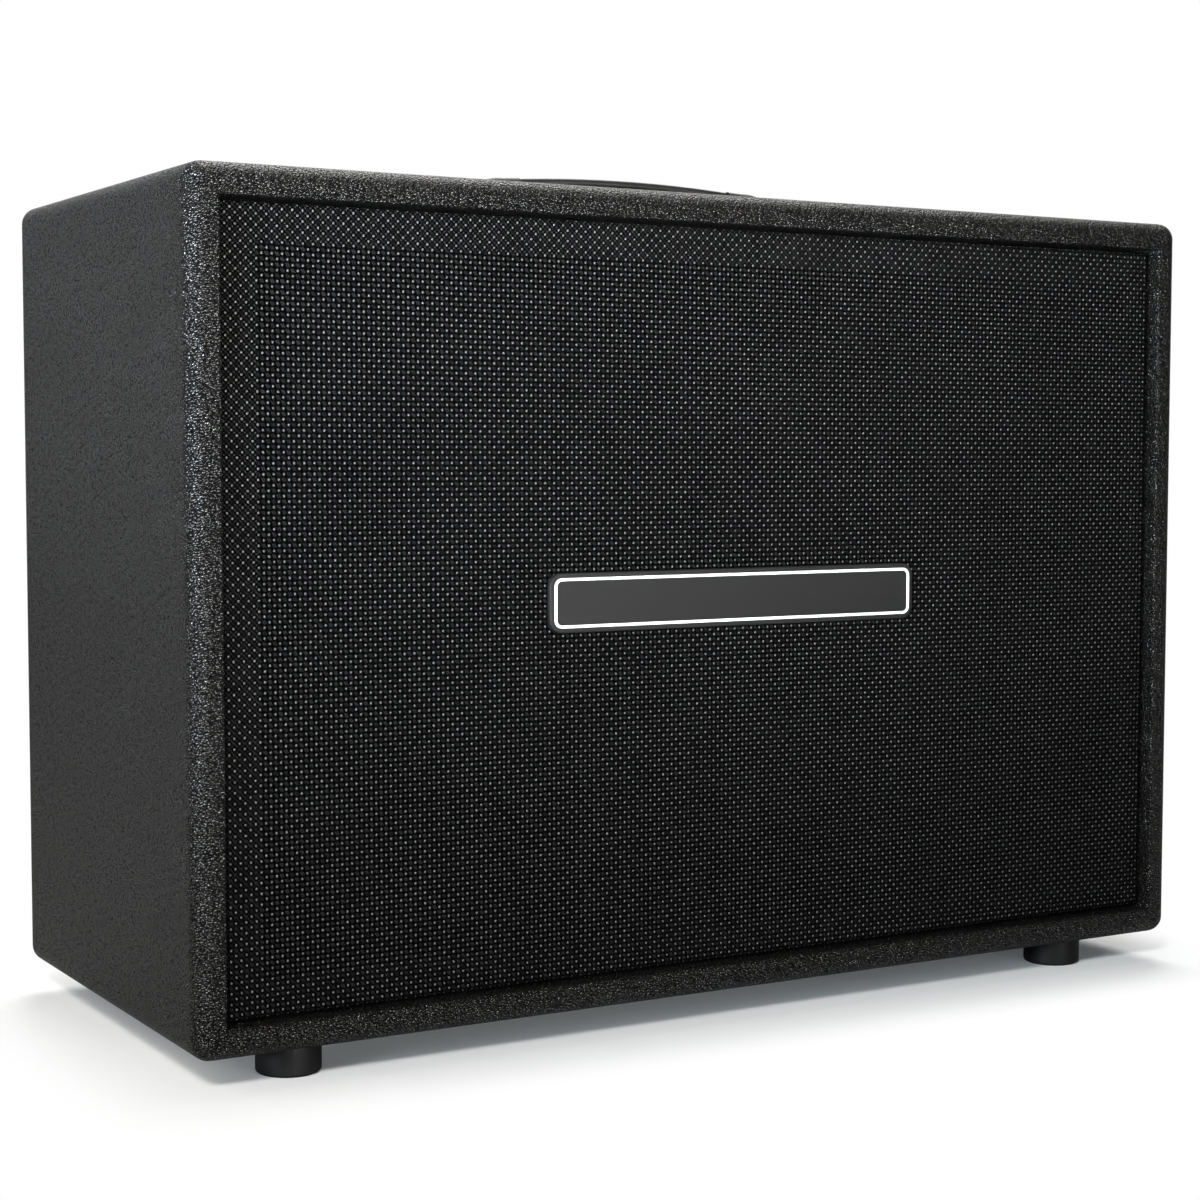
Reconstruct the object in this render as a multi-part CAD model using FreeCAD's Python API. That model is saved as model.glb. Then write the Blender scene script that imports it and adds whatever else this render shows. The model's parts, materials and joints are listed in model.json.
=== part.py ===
import FreeCAD, Part
import math
import os

Vec = FreeCAD.Vector
x_axis = Vec(1, 0, 0)
y_axis = Vec(0, 1, 0)
z_axis = Vec(0, 0, 1)
full_turn = 360.0
quarter_turn = 90.0

# Shell, sizes over the vinyl covering
cab_width = 720.0
cab_height = 495.0
cab_depth = 315.0
edge_radius = 11.0
ply = 17.0
vinyl = 0.65
rim_arris = 1.4
finger_count = 13

# Working allowances
overrun = 2.0
near = 0.001
fit_gap = 0.3
hole_gap = 0.2
panel_gap = 0.6

# Rubber feet
foot_radius = 19.25
foot_height = 20.5
foot_edge = 1.8
foot_recess_radius = 8.5
foot_recess_depth = 11.0
foot_side_inset = 71.0
foot_end_inset = 41.0
washer_gap = 1.0
washer_thickness = 1.2

# Screws and bolts: the head sits on the seat, the length runs on below it
screw_margin = 2.35
screw_end = 0.35
hood_seat = 7.5
tee_flange = 1.5
foot_grip = ply + vinyl + foot_height - foot_recess_depth + washer_thickness - screw_margin
foot_screw = dict(head_radius=4.8, head_height=3.2, shank_radius=2.4, length=foot_grip, tip=5.0)
board_screw = dict(head_radius=4.0, head_height=2.4, shank_radius=2.0, length=32.0, tip=5.0)
dish_screw = dict(head_radius=3.4, head_height=2.0, shank_radius=1.7, length=15.0, tip=4.0)
handle_grip_length = hood_seat + vinyl + ply + tee_flange + screw_end
handle_screw = dict(head_radius=4.8, head_height=3.0, shank_radius=2.4, length=handle_grip_length, tip=0.6)
speaker_bolt = dict(head_radius=5.0, head_height=2.6, shank_radius=2.5, length=31.0, tip=0.6)

# Grille
grille_recess = 8.5
grille_gap = 2.5
cloth = 1.0
cloth_edge = 2.2
frame_thickness = 12.0
frame_rail = 22.0
hem_margin = 4.0
frame_stile = 22.0
pad_thickness = 2.0
pad_length = 50.0
pad_inset = 1.2
pad_share = 0.68

# Badge
badge_width = 270.0
badge_height = 36.0
badge_thickness = 3.0
badge_corner = 8.0
keyline_inset = 3.0
keyline_width = 1.8
keyline_height = 0.6
stud_radius = 1.6
stud_inset = 30.0
stud_length = 6.0
push_nut_radius = 5.0
push_nut_thickness = 0.8

# Baffle, back board and the battens behind them
baffle_thickness = 18.0
batten = 20.0
back_recess = 8.0
back_thickness = 15.0
brace_width = 16.0
brace_height = 44.0
screw_shares_x = (-0.9, -0.45, 0.0, 0.45, 0.9)
screw_shares_z = (-0.5, 0.5)

# Strap handle
grip_top = 22.3
grip_thickness = 5.2
grip_width = 27.0
grip_gap = 29.0
sleeve_gap = 0.7
grip_edge = 2.2
strap_thickness = 2.2
strap_width = 24.0
strap_edge = 0.9
strap_bend = 9.0
strap_ramp = 50.0
strap_slide = 5.0
strap_margin = 2.0
arch_rise = 3.1
hood_gap = 162.0
hood_length = 43.0
hood_width = 34.0
hood_fall = 0.7
hood_flat_share = 0.28
hood_bow_share = 0.767
hood_bow_rise_share = 0.641
hood_wall = 1.5
hood_edge = 4.0
hood_post_radius = 7.2
hood_screw_share = 0.651
tee_flange_radius = 9.0
tee_barrel_radius = 3.6
tee_barrel = 8.0

# Jack dish and sockets
dish_width = 124.0
dish_height = 88.0
dish_flange = 3.0
dish_corner = 8.0
dish_land = 12.5
pocket_depth = 28.0
pocket_corner = 6.0
dish_wall = 2.5
dish_rise = 130.0
jack_spacing = 44.0
jack_bore = 3.25
jack_bush = 4.7
jack_stand = 6.5
jack_body = 20.0
jack_body_length = 26.0
jack_end = 3.0
jack_nut_flats = 13.0
jack_nut = 2.4

# Drive units: radii from the axis, depths from the back of the baffle
flange_gap = 2.7
cutout_inset = 13.0
bolt_inset = 6.0
bolt_count = 8
gasket = 4.0
gasket_width = 12.5
basket_sheet = 1.5
bowl_inset = 20.5
ledge = 14.0
ledge_depth = 70.0
pot_radius = 58.0
pot_depth = 12.5
base_lip = 5.7
window_count = 8
window_inset = 32.5
window_lift = 8.0
leg_angle = 17.0
edge_sheet = 0.6
edge_rolls = 4
edge_roll_height = 1.3
cone_inset = 33.5
cone_lip = 6.0
cone_thickness = 0.8
neck_gap = 10.0
cone_rib = 2.4
cone_rib_height = 0.9
cone_rib_shares = (0.22, 0.40, 0.58)
cap_radius = 37.0
cap_dome = 9.0
cap_sheet = 0.6
spider_sheet = 0.5
spider_collar = 4.75
spider_margin = 4.0
spider_rolls = 6
spider_roll_height = 1.9
former_inner = 22.0
former_sheet = 0.25
former_lead = 3.0
former_tail = 4.0
winding_sheet = 0.95
winding_length = 12.0
coil_gap = 1.1
plate_edge = 2.0
plate_thickness = 8.0
magnet_inner = 40.0
magnet_edge = 18.0
magnet_thickness = 20.0
yoke_edge = 4.0
yoke_thickness = 8.0
nut_flats = 9.0
nut_thickness = 4.0
tag_board_width = 26.0
tag_board_length = 28.2
tag_board_sheet = 1.6
tag_width = 5.0
tag_length = 9.0
tag_sheet = 0.8
tag_spacing = 14.0
lead_radius = 2.2
lead_bend = 26.0
lead_run = 48.0

# Places shared by several parts
half_width = cab_width / 2
front = -cab_depth / 2
back = cab_depth / 2
shell_low = foot_height
shell_high = foot_height + cab_height
mid_z = foot_height + cab_height / 2
rim = ply + 2 * vinyl
wall_x = half_width - vinyl - ply
wall_low = shell_low + vinyl + ply
wall_high = shell_high - vinyl - ply
mouth_x = half_width - rim
mouth_low = shell_low + rim
mouth_high = shell_high - rim
cloth_front = front + grille_recess
frame_front = cloth_front + cloth
frame_back = frame_front + frame_thickness
hem_back = frame_back + cloth
baffle_front = hem_back + 2 * pad_thickness
baffle_back = baffle_front + baffle_thickness
panel_back = back - back_recess
panel_front = panel_back - back_thickness
frame_x = mouth_x - grille_gap - cloth
frame_low = mouth_low + grille_gap + cloth
frame_high = mouth_high - grille_gap - cloth
cloth_hem = frame_rail - hem_margin
pad_width = cloth_hem - 2 * pad_inset
dish_z = shell_low + dish_rise
dish_floor = panel_back + dish_flange - pocket_depth
pocket_width = dish_width - 2 * dish_land
pocket_height = dish_height - 2 * dish_land
jack_seat = dish_floor - dish_wall
flange_radius = (wall_x - batten - brace_width / 2) / 2 - flange_gap
driver_x = brace_width / 2 + flange_gap + flange_radius
bolt_circle = flange_radius - bolt_inset
gasket_inner = flange_radius - gasket_width
bowl_radius = flange_radius - bowl_inset
cone_radius = flange_radius - cone_inset
ledge_radius = pot_radius + ledge
neck_depth = ledge_depth - neck_gap
base_depth = ledge_depth + pot_depth
flange_back = gasket + basket_sheet
plate_front = base_depth + basket_sheet
plate_back = plate_front + plate_thickness
magnet_back = plate_back + magnet_thickness
magnet_radius = pot_radius + plate_edge + magnet_edge
former_outer = former_inner + former_sheet
coil_outer = former_outer + winding_sheet
gap_outer = coil_outer + coil_gap
tag_board_inner = pot_radius + basket_sheet + fit_gap
tag_board_reach = tag_board_inner + tag_board_length
hood_mouth = hood_gap / 2
hood_screw_inset = hood_length * hood_screw_share
screw_x = hood_mouth + hood_screw_inset
grip_half_length = hood_mouth - grip_gap
sleeve_half_length = hood_mouth - sleeve_gap
strap_mid = grip_top - grip_thickness / 2
strap_end_mid = strap_mid - arch_rise
hood_height = strap_end_mid + strap_thickness / 2 + fit_gap + hood_wall
arch_radius = (hood_mouth ** 2 + arch_rise ** 2) / (2 * arch_rise)


# Basic shapes
def block(x0, x1, y0, y1, z0, z1):
    return Part.makeBox(x1 - x0, y1 - y0, z1 - z0, Vec(x0, y0, z0))


def rod(radius, start, end):
    axis = end - start
    return Part.makeCylinder(radius, axis.Length, start, axis)


def rounded_plate(width, height, corner, z, y0, y1):
    plate = block(-width / 2, width / 2, y0, y1, z - height / 2, z + height / 2)
    upright = [edge for edge in plate.Edges if edge.BoundBox.YLength > (y1 - y0) / 2]
    return plate.makeFillet(corner, upright)


def joined(shapes):
    return shapes[0].multiFuse(shapes[1:]).removeSplitter()


def opened(shape, cutters):
    return shape.cut(Part.Compound(cutters))


def aimed(shape, seat, axis):
    moved = shape.copy()
    moved.Placement = FreeCAD.Placement(seat, FreeCAD.Rotation(z_axis, axis))
    return moved


def flat_point(pair):
    return Vec(pair[0], 0, pair[1])


# A path is a start point and then points for lines or (via, end) pairs for arcs
def path_edges(path):
    edges = []
    at = path[0]
    for step in path[1:]:
        via = step[0] if isinstance(step[0], tuple) else None
        end = step[1] if via else step
        if via:
            edges.append(Part.Arc(flat_point(at), flat_point(via), flat_point(end)).toShape())
        else:
            edges.append(Part.makeLine(flat_point(at), flat_point(end)))
        at = end
    return edges


def face_in(path):
    return Part.Face(Part.Wire(path_edges(path + [path[0]])))


def turned(path, angle=full_turn):
    return face_in(path).revolve(Vec(0, 0, 0), z_axis, angle)


def pressed_sheet(path, thickness):
    near_side = Part.Wire(path_edges(path))
    far_side = near_side.translated(Vec(0, 0, thickness))
    ends = [Part.makeLine(a.Point, b.Point) for a, b in zip(near_side.OrderedVertexes[::len(path) - 1],
                                                             far_side.OrderedVertexes[::len(path) - 1])]
    edges = near_side.Edges + far_side.Edges + ends
    return Part.Face(Part.Wire(Part.__sortEdges__(edges))).revolve(Vec(0, 0, 0), z_axis, full_turn)


def rolls(r_from, r_to, count, height, depth):
    pitch = (r_to - r_from) / count
    steps = []
    for index in range(count):
        swing = -height if index % 2 else height
        crest = (r_from + (index + 0.5) * pitch, depth + swing)
        steps.append((crest, (r_from + (index + 1) * pitch, depth)))
    return steps


# Fasteners
def fastener(size, seat, axis):
    head = size["head_radius"]
    shank = size["shank_radius"]
    dome = math.sqrt(0.5)
    path = [(0, size["head_height"]),
            ((head * dome, size["head_height"] * dome), (head, 0)),
            (shank, 0),
            (shank, size["tip"] - size["length"]),
            (shank / 2, -size["length"]),
            (0, -size["length"])]
    return aimed(turned(path), seat, axis)


def fastener_hole(size, seat, axis):
    radius = size["shank_radius"] + hole_gap
    return rod(radius, seat + axis * overrun, seat - axis * (size["length"] + hole_gap))


def hex_nut(flats, thickness, hole, seat, axis):
    corner = flats / math.sqrt(3)
    angles = [math.pi * k / 3 for k in range(7)]
    points = [Vec(corner * math.cos(a), corner * math.sin(a), 0) for a in angles]
    body = Part.Face(Part.makePolygon(points)).extrude(z_axis * thickness)
    return aimed(body.cut(rod(hole, z_axis * -overrun, z_axis * (thickness + overrun))), seat, axis)


def foot_places():
    x = half_width - foot_side_inset
    y = back - foot_end_inset
    return dict(front_left=Vec(-x, -y, 0), front_right=Vec(x, -y, 0),
                rear_left=Vec(-x, y, 0), rear_right=Vec(x, y, 0))


def foot_seats():
    return [place + z_axis * (foot_recess_depth - washer_thickness) for place in foot_places().values()]


def board_seats(y):
    mid_row = (wall_high - wall_low - batten) / 2
    mid_column = wall_x - batten / 2
    seats = [Vec(wall_x * share, y, mid_z + row) for share in screw_shares_x for row in (-mid_row, mid_row)]
    return seats + [Vec(side, y, mid_z + mid_row * share)
                    for share in screw_shares_z for side in (-mid_column, mid_column)]


def handle_seats():
    return [Vec(side * screw_x, 0, shell_high + hood_seat) for side in (-1, 1)]


def dish_seats():
    x = (dish_width - dish_land) / 2
    z = (dish_height - dish_land) / 2
    return [Vec(i * x, panel_back + dish_flange, dish_z + k * z) for i in (-1, 1) for k in (-1, 1)]


def driver_centres():
    return dict(left=-driver_x, right=driver_x)


def bolt_places(centre_x, y):
    angles = [math.radians(full_turn * (k + 0.5) / bolt_count) for k in range(bolt_count)]
    return [Vec(centre_x + bolt_circle * math.cos(a), y, mid_z + bolt_circle * math.sin(a)) for a in angles]


def bolt_seats(y):
    return [seat for x in driver_centres().values() for seat in bolt_places(x, y)]


# Carcass: a rounded ring of board, finger jointed at its corners, and its covering
def rounded_block(inset):
    body = block(-half_width + inset, half_width - inset, front + inset, back - inset,
                 shell_low + inset, shell_high - inset)
    return body.makeFillet(edge_radius - inset, body.Edges)


def shell_ring(inset):
    void = block(-mouth_x - inset, mouth_x + inset, front - overrun, back + overrun,
                 mouth_low - inset, mouth_high + inset)
    ring = rounded_block(inset).cut(void)
    lips = []
    for edge in ring.Edges:
        box = edge.BoundBox
        flat = box.YLength < near and abs(abs(box.Center.y) - (back - inset)) < near
        inside_x = abs(box.Center.x) < mouth_x + inset + near
        inside_z = mouth_low - inset - near < box.Center.z < mouth_high + inset + near
        if flat and inside_x and inside_z:
            lips.append(edge)
    return ring.makeFillet(rim_arris - inset, lips)


def vinyl_covering():
    skin = shell_ring(0).cut(shell_ring(vinyl))
    bare = block(-wall_x, wall_x, baffle_front, panel_front, wall_low, wall_high)
    cutters = [bare]
    cutters += [fastener_hole(foot_screw, seat, -z_axis) for seat in foot_seats()]
    cutters += [fastener_hole(handle_screw, seat, z_axis) for seat in handle_seats()]
    return opened(skin, cutters)


def corner_fingers(side_x, z0, z1, first):
    pitch = (cab_depth - 2 * vinyl) / finger_count
    x0, x1 = sorted((side_x * wall_x, side_x * half_width))
    start = front + vinyl
    return [block(x0, x1, start + k * pitch, start + (k + 1) * pitch, z0, z1)
            for k in range(first, finger_count, 2)]


def shelf_board(z0, z1):
    parts = [block(-wall_x, wall_x, front, back, z0, z1)]
    for side_x in (-1, 1):
        parts += corner_fingers(side_x, z0, z1, 0)
    return shell_ring(vinyl).common(joined(parts))


def top_panel():
    cutters = [fastener_hole(handle_screw, seat, z_axis) for seat in handle_seats()]
    for seat in handle_seats():
        barrel_end = wall_high + tee_barrel + hole_gap
        cutters.append(rod(tee_barrel_radius + hole_gap, Vec(seat.x, 0, wall_high - overrun),
                           Vec(seat.x, 0, barrel_end)))
    return opened(shelf_board(wall_high, shell_high), cutters)


def bottom_panel():
    cutters = [fastener_hole(foot_screw, seat, -z_axis) for seat in foot_seats()]
    return opened(shelf_board(shell_low, wall_low), cutters)


def side_panel(side_x):
    x0, x1 = sorted((side_x * wall_x, side_x * half_width))
    parts = [block(x0, x1, front, back, wall_low, wall_high)]
    parts += corner_fingers(side_x, wall_high, shell_high, 1)
    parts += corner_fingers(side_x, shell_low, wall_low, 1)
    return shell_ring(vinyl).common(joined(parts))


# Boards that close the front and the back
def inner_board(y0, y1):
    return block(-mouth_x + panel_gap, mouth_x - panel_gap, y0, y1,
                 mouth_low + panel_gap, mouth_high - panel_gap)


def baffle_board():
    cutters = [fastener_hole(board_screw, seat, -y_axis) for seat in board_seats(baffle_front)]
    cutters += [fastener_hole(speaker_bolt, seat, -y_axis) for seat in bolt_seats(baffle_front)]
    for x in driver_centres().values():
        cutters.append(rod(flange_radius - cutout_inset, Vec(x, baffle_front - overrun, mid_z),
                           Vec(x, baffle_back + overrun, mid_z)))
    return opened(inner_board(baffle_front, baffle_back), cutters)


def back_panel():
    cutters = [fastener_hole(board_screw, seat, y_axis) for seat in board_seats(panel_back)]
    cutters += [fastener_hole(dish_screw, seat, y_axis) for seat in dish_seats()]
    room = 2 * (dish_wall + panel_gap)
    cutters.append(rounded_plate(pocket_width + room, pocket_height + room, pocket_corner + room / 2,
                                 dish_z, panel_front - overrun, panel_back + overrun))
    return opened(inner_board(panel_front, panel_back), cutters)


def battens(y0, y1, holes):
    low = wall_low + batten
    high = wall_high - batten
    strips = [block(-wall_x, wall_x, y0, y1, high, wall_high),
              block(-wall_x, wall_x, y0, y1, wall_low, low),
              block(-wall_x, batten - wall_x, y0, y1, low, high),
              block(wall_x - batten, wall_x, y0, y1, low, high)]
    return Part.Compound([opened(strip, holes).Solids[0] for strip in strips])


def baffle_battens():
    holes = [fastener_hole(board_screw, seat, -y_axis) for seat in board_seats(baffle_front)]
    return battens(baffle_back, baffle_back + batten, holes)


def back_battens():
    holes = [fastener_hole(board_screw, seat, y_axis) for seat in board_seats(panel_back)]
    return battens(panel_front - batten, panel_front, holes)


def centre_brace():
    return block(-brace_width / 2, brace_width / 2, baffle_back, panel_front,
                 mid_z - brace_height / 2, mid_z + brace_height / 2)


# Feet
def rubber_foot(place):
    section = [(foot_recess_radius, 0), (foot_radius - foot_edge, 0), (foot_radius, foot_edge),
               (foot_radius, foot_height), (foot_screw["shank_radius"] + hole_gap, foot_height),
               (foot_screw["shank_radius"] + hole_gap, foot_recess_depth),
               (foot_recess_radius, foot_recess_depth)]
    return turned(section).translated(place)


def foot_washers():
    outer = foot_recess_radius - washer_gap
    inner = foot_screw["shank_radius"] + hole_gap
    ring = [(inner, 0), (outer, 0), (outer, washer_thickness), (inner, washer_thickness)]
    return Part.Compound([turned(ring).translated(seat) for seat in foot_seats()])


# Strap handle
def hood_outline(wall):
    inset = wall * math.sqrt(0.5)
    bow = (hood_length * hood_bow_share - inset, hood_height * hood_bow_rise_share - inset)
    return [(-wall, 0), (-wall, hood_height - wall),
            (hood_length * hood_flat_share, hood_height - hood_fall - wall), (bow, (hood_length - wall, 0))]


def hood_blank(wall):
    width = hood_width - 2 * wall
    body = face_in(hood_outline(wall)).extrude(y_axis * width).translated(y_axis * (-width / 2))
    crown = []
    for edge in body.Edges:
        box = edge.BoundBox
        if box.YLength < near and box.XLength > hood_length * hood_flat_share - near and box.ZMax > near:
            crown.append(edge)
    return body.makeFillet(hood_edge - wall, crown)


def handle_hood(side):
    blank = hood_blank(0)
    post_low = strap_thickness + fit_gap
    post = rod(hood_post_radius, Vec(hood_screw_inset, 0, post_low), Vec(hood_screw_inset, 0, hood_height))
    hood = blank.cut(hood_blank(hood_wall)).fuse(post.common(blank)).removeSplitter()
    shank = rod(handle_screw["shank_radius"] + hole_gap, Vec(hood_screw_inset, 0, 0),
                Vec(hood_screw_inset, 0, hood_height))
    sink = rod(handle_screw["head_radius"] + fit_gap, Vec(hood_screw_inset, 0, hood_seat),
               Vec(hood_screw_inset, 0, hood_height + overrun))
    hood = opened(hood, [shank, sink]).translated(Vec(hood_mouth, 0, shell_high))
    return hood if side > 0 else hood.mirror(Vec(0, 0, 0), x_axis)


def strap_line():
    arch_angle = math.asin(hood_mouth / arch_radius)
    ramp = math.radians(strap_ramp)
    low = strap_thickness / 2
    high = strap_end_mid

    def bend_point(angle, start):
        return (start[0] - strap_bend * math.sin(angle), start[1] + strap_bend * (1 - math.cos(angle)))

    def crest_point(angle):
        return (hood_mouth + strap_bend * (math.sin(angle) - math.sin(arch_angle)),
                high - strap_bend * (math.cos(arch_angle) - math.cos(angle)))

    top = crest_point(ramp)
    bend_rise = strap_bend * (1 - math.cos(ramp))
    foot_x = top[0] + (top[1] - low - bend_rise) / math.tan(ramp) + strap_bend * math.sin(ramp)
    foot = (foot_x, low)
    end = (screw_x + strap_slide + handle_screw["shank_radius"] + 2 * strap_margin, low)
    half = [end, foot, (bend_point(ramp / 2, foot), bend_point(ramp, foot)), top,
            (crest_point((ramp + arch_angle) / 2), (hood_mouth, high))]
    edges = path_edges(half)
    arch = Part.Arc(Vec(hood_mouth, 0, high), Vec(0, 0, strap_mid), Vec(-hood_mouth, 0, high)).toShape()
    mirrored = [edge.mirror(Vec(0, 0, 0), x_axis) for edge in reversed(edges)]
    return Part.Wire(Part.__sortEdges__(edges + [arch] + mirrored)), end[0]


def handle_strap():
    line, end_x = strap_line()
    flat = block(0, overrun, -strap_width / 2, strap_width / 2, 0, strap_thickness)
    flat = flat.makeFillet(strap_edge, [e for e in flat.Edges if e.BoundBox.XLength > overrun / 2])
    section = [f for f in flat.Faces if f.BoundBox.XMax < near][0].OuterWire.translated(Vec(-end_x, 0, 0))
    strap = line.makePipeShell([section], True, True)
    slot_radius = handle_screw["shank_radius"] + 2 * fit_gap
    slots = []
    for side in (-1, 1):
        inner = Vec(side * screw_x, 0, -overrun)
        outer = Vec(side * (screw_x + strap_slide), 0, -overrun)
        rise = z_axis * (strap_thickness + 2 * overrun)
        x0, x1 = sorted((inner.x, outer.x))
        slots += [rod(slot_radius, inner, inner + rise), rod(slot_radius, outer, outer + rise),
                  block(x0, x1, -slot_radius, slot_radius, -overrun, strap_thickness + overrun)]
    strap = opened(strap, slots).translated(z_axis * shell_high)
    return strap.fuse(strap_sleeves()).removeSplitter()


def arch_slab(thickness, width, half_length):
    centre_z = strap_mid - arch_radius
    angle = math.asin(half_length / arch_radius)
    outer = arch_radius + thickness / 2
    inner = arch_radius - thickness / 2
    side = math.sin(angle)
    lift = math.cos(angle)
    path = [(-outer * side, centre_z + outer * lift),
            ((0, centre_z + outer), (outer * side, centre_z + outer * lift)),
            (inner * side, centre_z + inner * lift),
            ((0, centre_z + inner), (-inner * side, centre_z + inner * lift))]
    return face_in(path).extrude(y_axis * width).translated(Vec(0, -width / 2, shell_high))


def soft_slab(half_length):
    slab = arch_slab(grip_thickness, grip_width, half_length)
    long_edges = [edge for edge in slab.Edges if edge.BoundBox.XLength > half_length]
    return slab.makeFillet(grip_edge, long_edges)


def strap_sleeves():
    reach = grip_half_length + fit_gap
    middle = block(-reach, reach, -grip_width, grip_width, shell_high, shell_high + 2 * grip_top)
    return soft_slab(sleeve_half_length).cut(middle)


def handle_grip():
    slab = soft_slab(grip_half_length)
    slot = arch_slab(strap_thickness + 2 * fit_gap, strap_width + 2 * fit_gap, grip_half_length + overrun)
    return slab.cut(slot)


def tee_nuts():
    hole = handle_screw["shank_radius"] + hole_gap
    section = [(hole, -tee_flange), (tee_flange_radius, -tee_flange), (tee_flange_radius, 0),
               (tee_barrel_radius, 0), (tee_barrel_radius, tee_barrel), (hole, tee_barrel)]
    return Part.Compound([turned(section).translated(Vec(seat.x, 0, wall_high)) for seat in handle_seats()])


# Grille
def frame_block(grow, edge):
    body = block(-frame_x - grow, frame_x + grow, frame_front - grow, frame_back + grow,
                 frame_low - grow, frame_high + grow)
    return body.makeFillet(edge, body.Edges)


def grille_frame():
    low = frame_low + frame_rail
    high = frame_high - frame_rail
    inner = frame_stile / 2
    outer = frame_x - frame_rail
    windows = [block(x0, x1, frame_front - overrun, frame_back + overrun, low, high)
               for x0, x1 in ((-outer, -inner), (inner, outer))]
    return opened(frame_block(0, cloth_edge - cloth), windows)


def stud_places(y):
    return [Vec(side * (badge_width / 2 - stud_inset), y, mid_z) for side in (-1, 1)]


def grille_cloth():
    wrap = frame_block(cloth, cloth_edge).cut(frame_block(0, cloth_edge - cloth))
    cutters = [block(-frame_x + cloth_hem, frame_x - cloth_hem, frame_back - overrun, hem_back + overrun,
                     frame_low + cloth_hem, frame_high - cloth_hem)]
    for place in stud_places(cloth_front - overrun):
        cutters.append(rod(stud_radius + hole_gap, place, place + y_axis * (cloth + 2 * overrun)))
    return opened(wrap, cutters)


def pad_set(y0):
    row = frame_x - pad_inset - pad_width / 2
    span = pad_length / 2
    half = pad_width / 2
    pads = []
    for side in (-1, 1):
        x = side * row
        pads.append(block(x - half, x + half, y0, y0 + pad_thickness, mid_z - span, mid_z + span))
        for z in (frame_low + pad_inset + half, frame_high - pad_inset - half):
            x = side * pad_share * frame_x
            pads.append(block(x - span, x + span, y0, y0 + pad_thickness, z - half, z + half))
    return Part.Compound(pads)


def badge_plate():
    plate = rounded_plate(badge_width, badge_height, badge_corner, mid_z,
                          cloth_front - badge_thickness, cloth_front)
    studs = [rod(stud_radius, place, place + y_axis * stud_length) for place in stud_places(cloth_front)]
    return joined([plate] + studs)


def badge_keyline():
    face = cloth_front - badge_thickness
    outer = rounded_plate(badge_width - 2 * keyline_inset, badge_height - 2 * keyline_inset,
                          badge_corner - keyline_inset, mid_z, face - keyline_height, face)
    inset = keyline_inset + keyline_width
    inner = rounded_plate(badge_width - 2 * inset, badge_height - 2 * inset,
                          badge_corner - inset, mid_z, face - overrun, face + overrun)
    return outer.cut(inner)


def push_nuts():
    ring = [(stud_radius + hole_gap, 0), (push_nut_radius, 0),
            (push_nut_radius, push_nut_thickness), (stud_radius + hole_gap, push_nut_thickness)]
    return Part.Compound([aimed(turned(ring), place, y_axis) for place in stud_places(frame_front)])


# Jack dish and sockets
def jack_places(y):
    return [Vec(side * jack_spacing / 2, y, dish_z) for side in (-1, 1)]


def jack_dish():
    rim_plate = rounded_plate(dish_width, dish_height, dish_corner, dish_z,
                              panel_back, panel_back + dish_flange)
    tub = rounded_plate(pocket_width + 2 * dish_wall, pocket_height + 2 * dish_wall,
                        pocket_corner + dish_wall, dish_z, jack_seat, panel_back + dish_flange)
    pocket = rounded_plate(pocket_width, pocket_height, pocket_corner, dish_z,
                           dish_floor, panel_back + dish_flange + overrun)
    cutters = [pocket] + [fastener_hole(dish_screw, seat, y_axis) for seat in dish_seats()]
    for place in jack_places(jack_seat - overrun):
        cutters.append(rod(jack_bush + hole_gap, place, place + y_axis * (dish_wall + 2 * overrun)))
    return opened(joined([rim_plate, tub]), cutters)


def jack_sockets():
    sockets = []
    for place in jack_places(jack_seat):
        half = jack_body / 2
        body = block(place.x - half, place.x + half, jack_seat - jack_body_length, jack_seat,
                     dish_z - half, dish_z + half)
        bush = rod(jack_bush, place, place + y_axis * (dish_wall + jack_stand))
        bore = rod(jack_bore, place - y_axis * (jack_body_length - jack_end),
                   place + y_axis * (dish_wall + jack_stand + overrun))
        sockets.append(joined([body, bush]).cut(bore))
    return Part.Compound(sockets)


def jack_nuts():
    return Part.Compound([hex_nut(jack_nut_flats, jack_nut, jack_bush + hole_gap, place, y_axis)
                          for place in jack_places(dish_floor)])


# Drive units, each drawn on its own axis with the baffle at zero
def driver_bolt_holes(depth):
    angles = [math.radians(full_turn * (k + 0.5) / bolt_count) for k in range(bolt_count)]
    foot = [Vec(bolt_circle * math.cos(a), bolt_circle * math.sin(a), -overrun) for a in angles]
    through = z_axis * (depth + 2 * overrun)
    return [rod(speaker_bolt["shank_radius"] + hole_gap, place, place + through) for place in foot]


def basket():
    slant = basket_sheet * math.sqrt(0.5)
    base_hole = gap_outer + base_lip
    section = [(flange_radius, gasket), (bowl_radius, gasket), (ledge_radius, ledge_depth),
               (pot_radius, ledge_depth), (pot_radius, base_depth), (base_hole, base_depth),
               (base_hole, plate_front), (pot_radius + basket_sheet, plate_front),
               (pot_radius + basket_sheet, ledge_depth + basket_sheet),
               (ledge_radius + slant, ledge_depth + basket_sheet),
               (bowl_radius + slant, flange_back), (flange_radius, flange_back)]
    window_top = flange_radius - window_inset
    window_foot = ledge_radius + window_lift
    window = [(window_foot, 0), (window_top, 0), (window_top, ledge_depth), (window_foot, ledge_depth)]
    pitch = full_turn / window_count
    cutter = turned(window, pitch - leg_angle)
    cutters = driver_bolt_holes(flange_back)
    for index in range(window_count):
        opening = cutter.copy()
        opening.rotate(Vec(0, 0, 0), z_axis, index * pitch + leg_angle / 2)
        cutters.append(opening)
    return opened(turned(section), cutters)


def gasket_ring():
    ring = turned([(gasket_inner, 0), (flange_radius, 0), (flange_radius, gasket), (gasket_inner, gasket)])
    return opened(ring, driver_bolt_holes(gasket))


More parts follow.
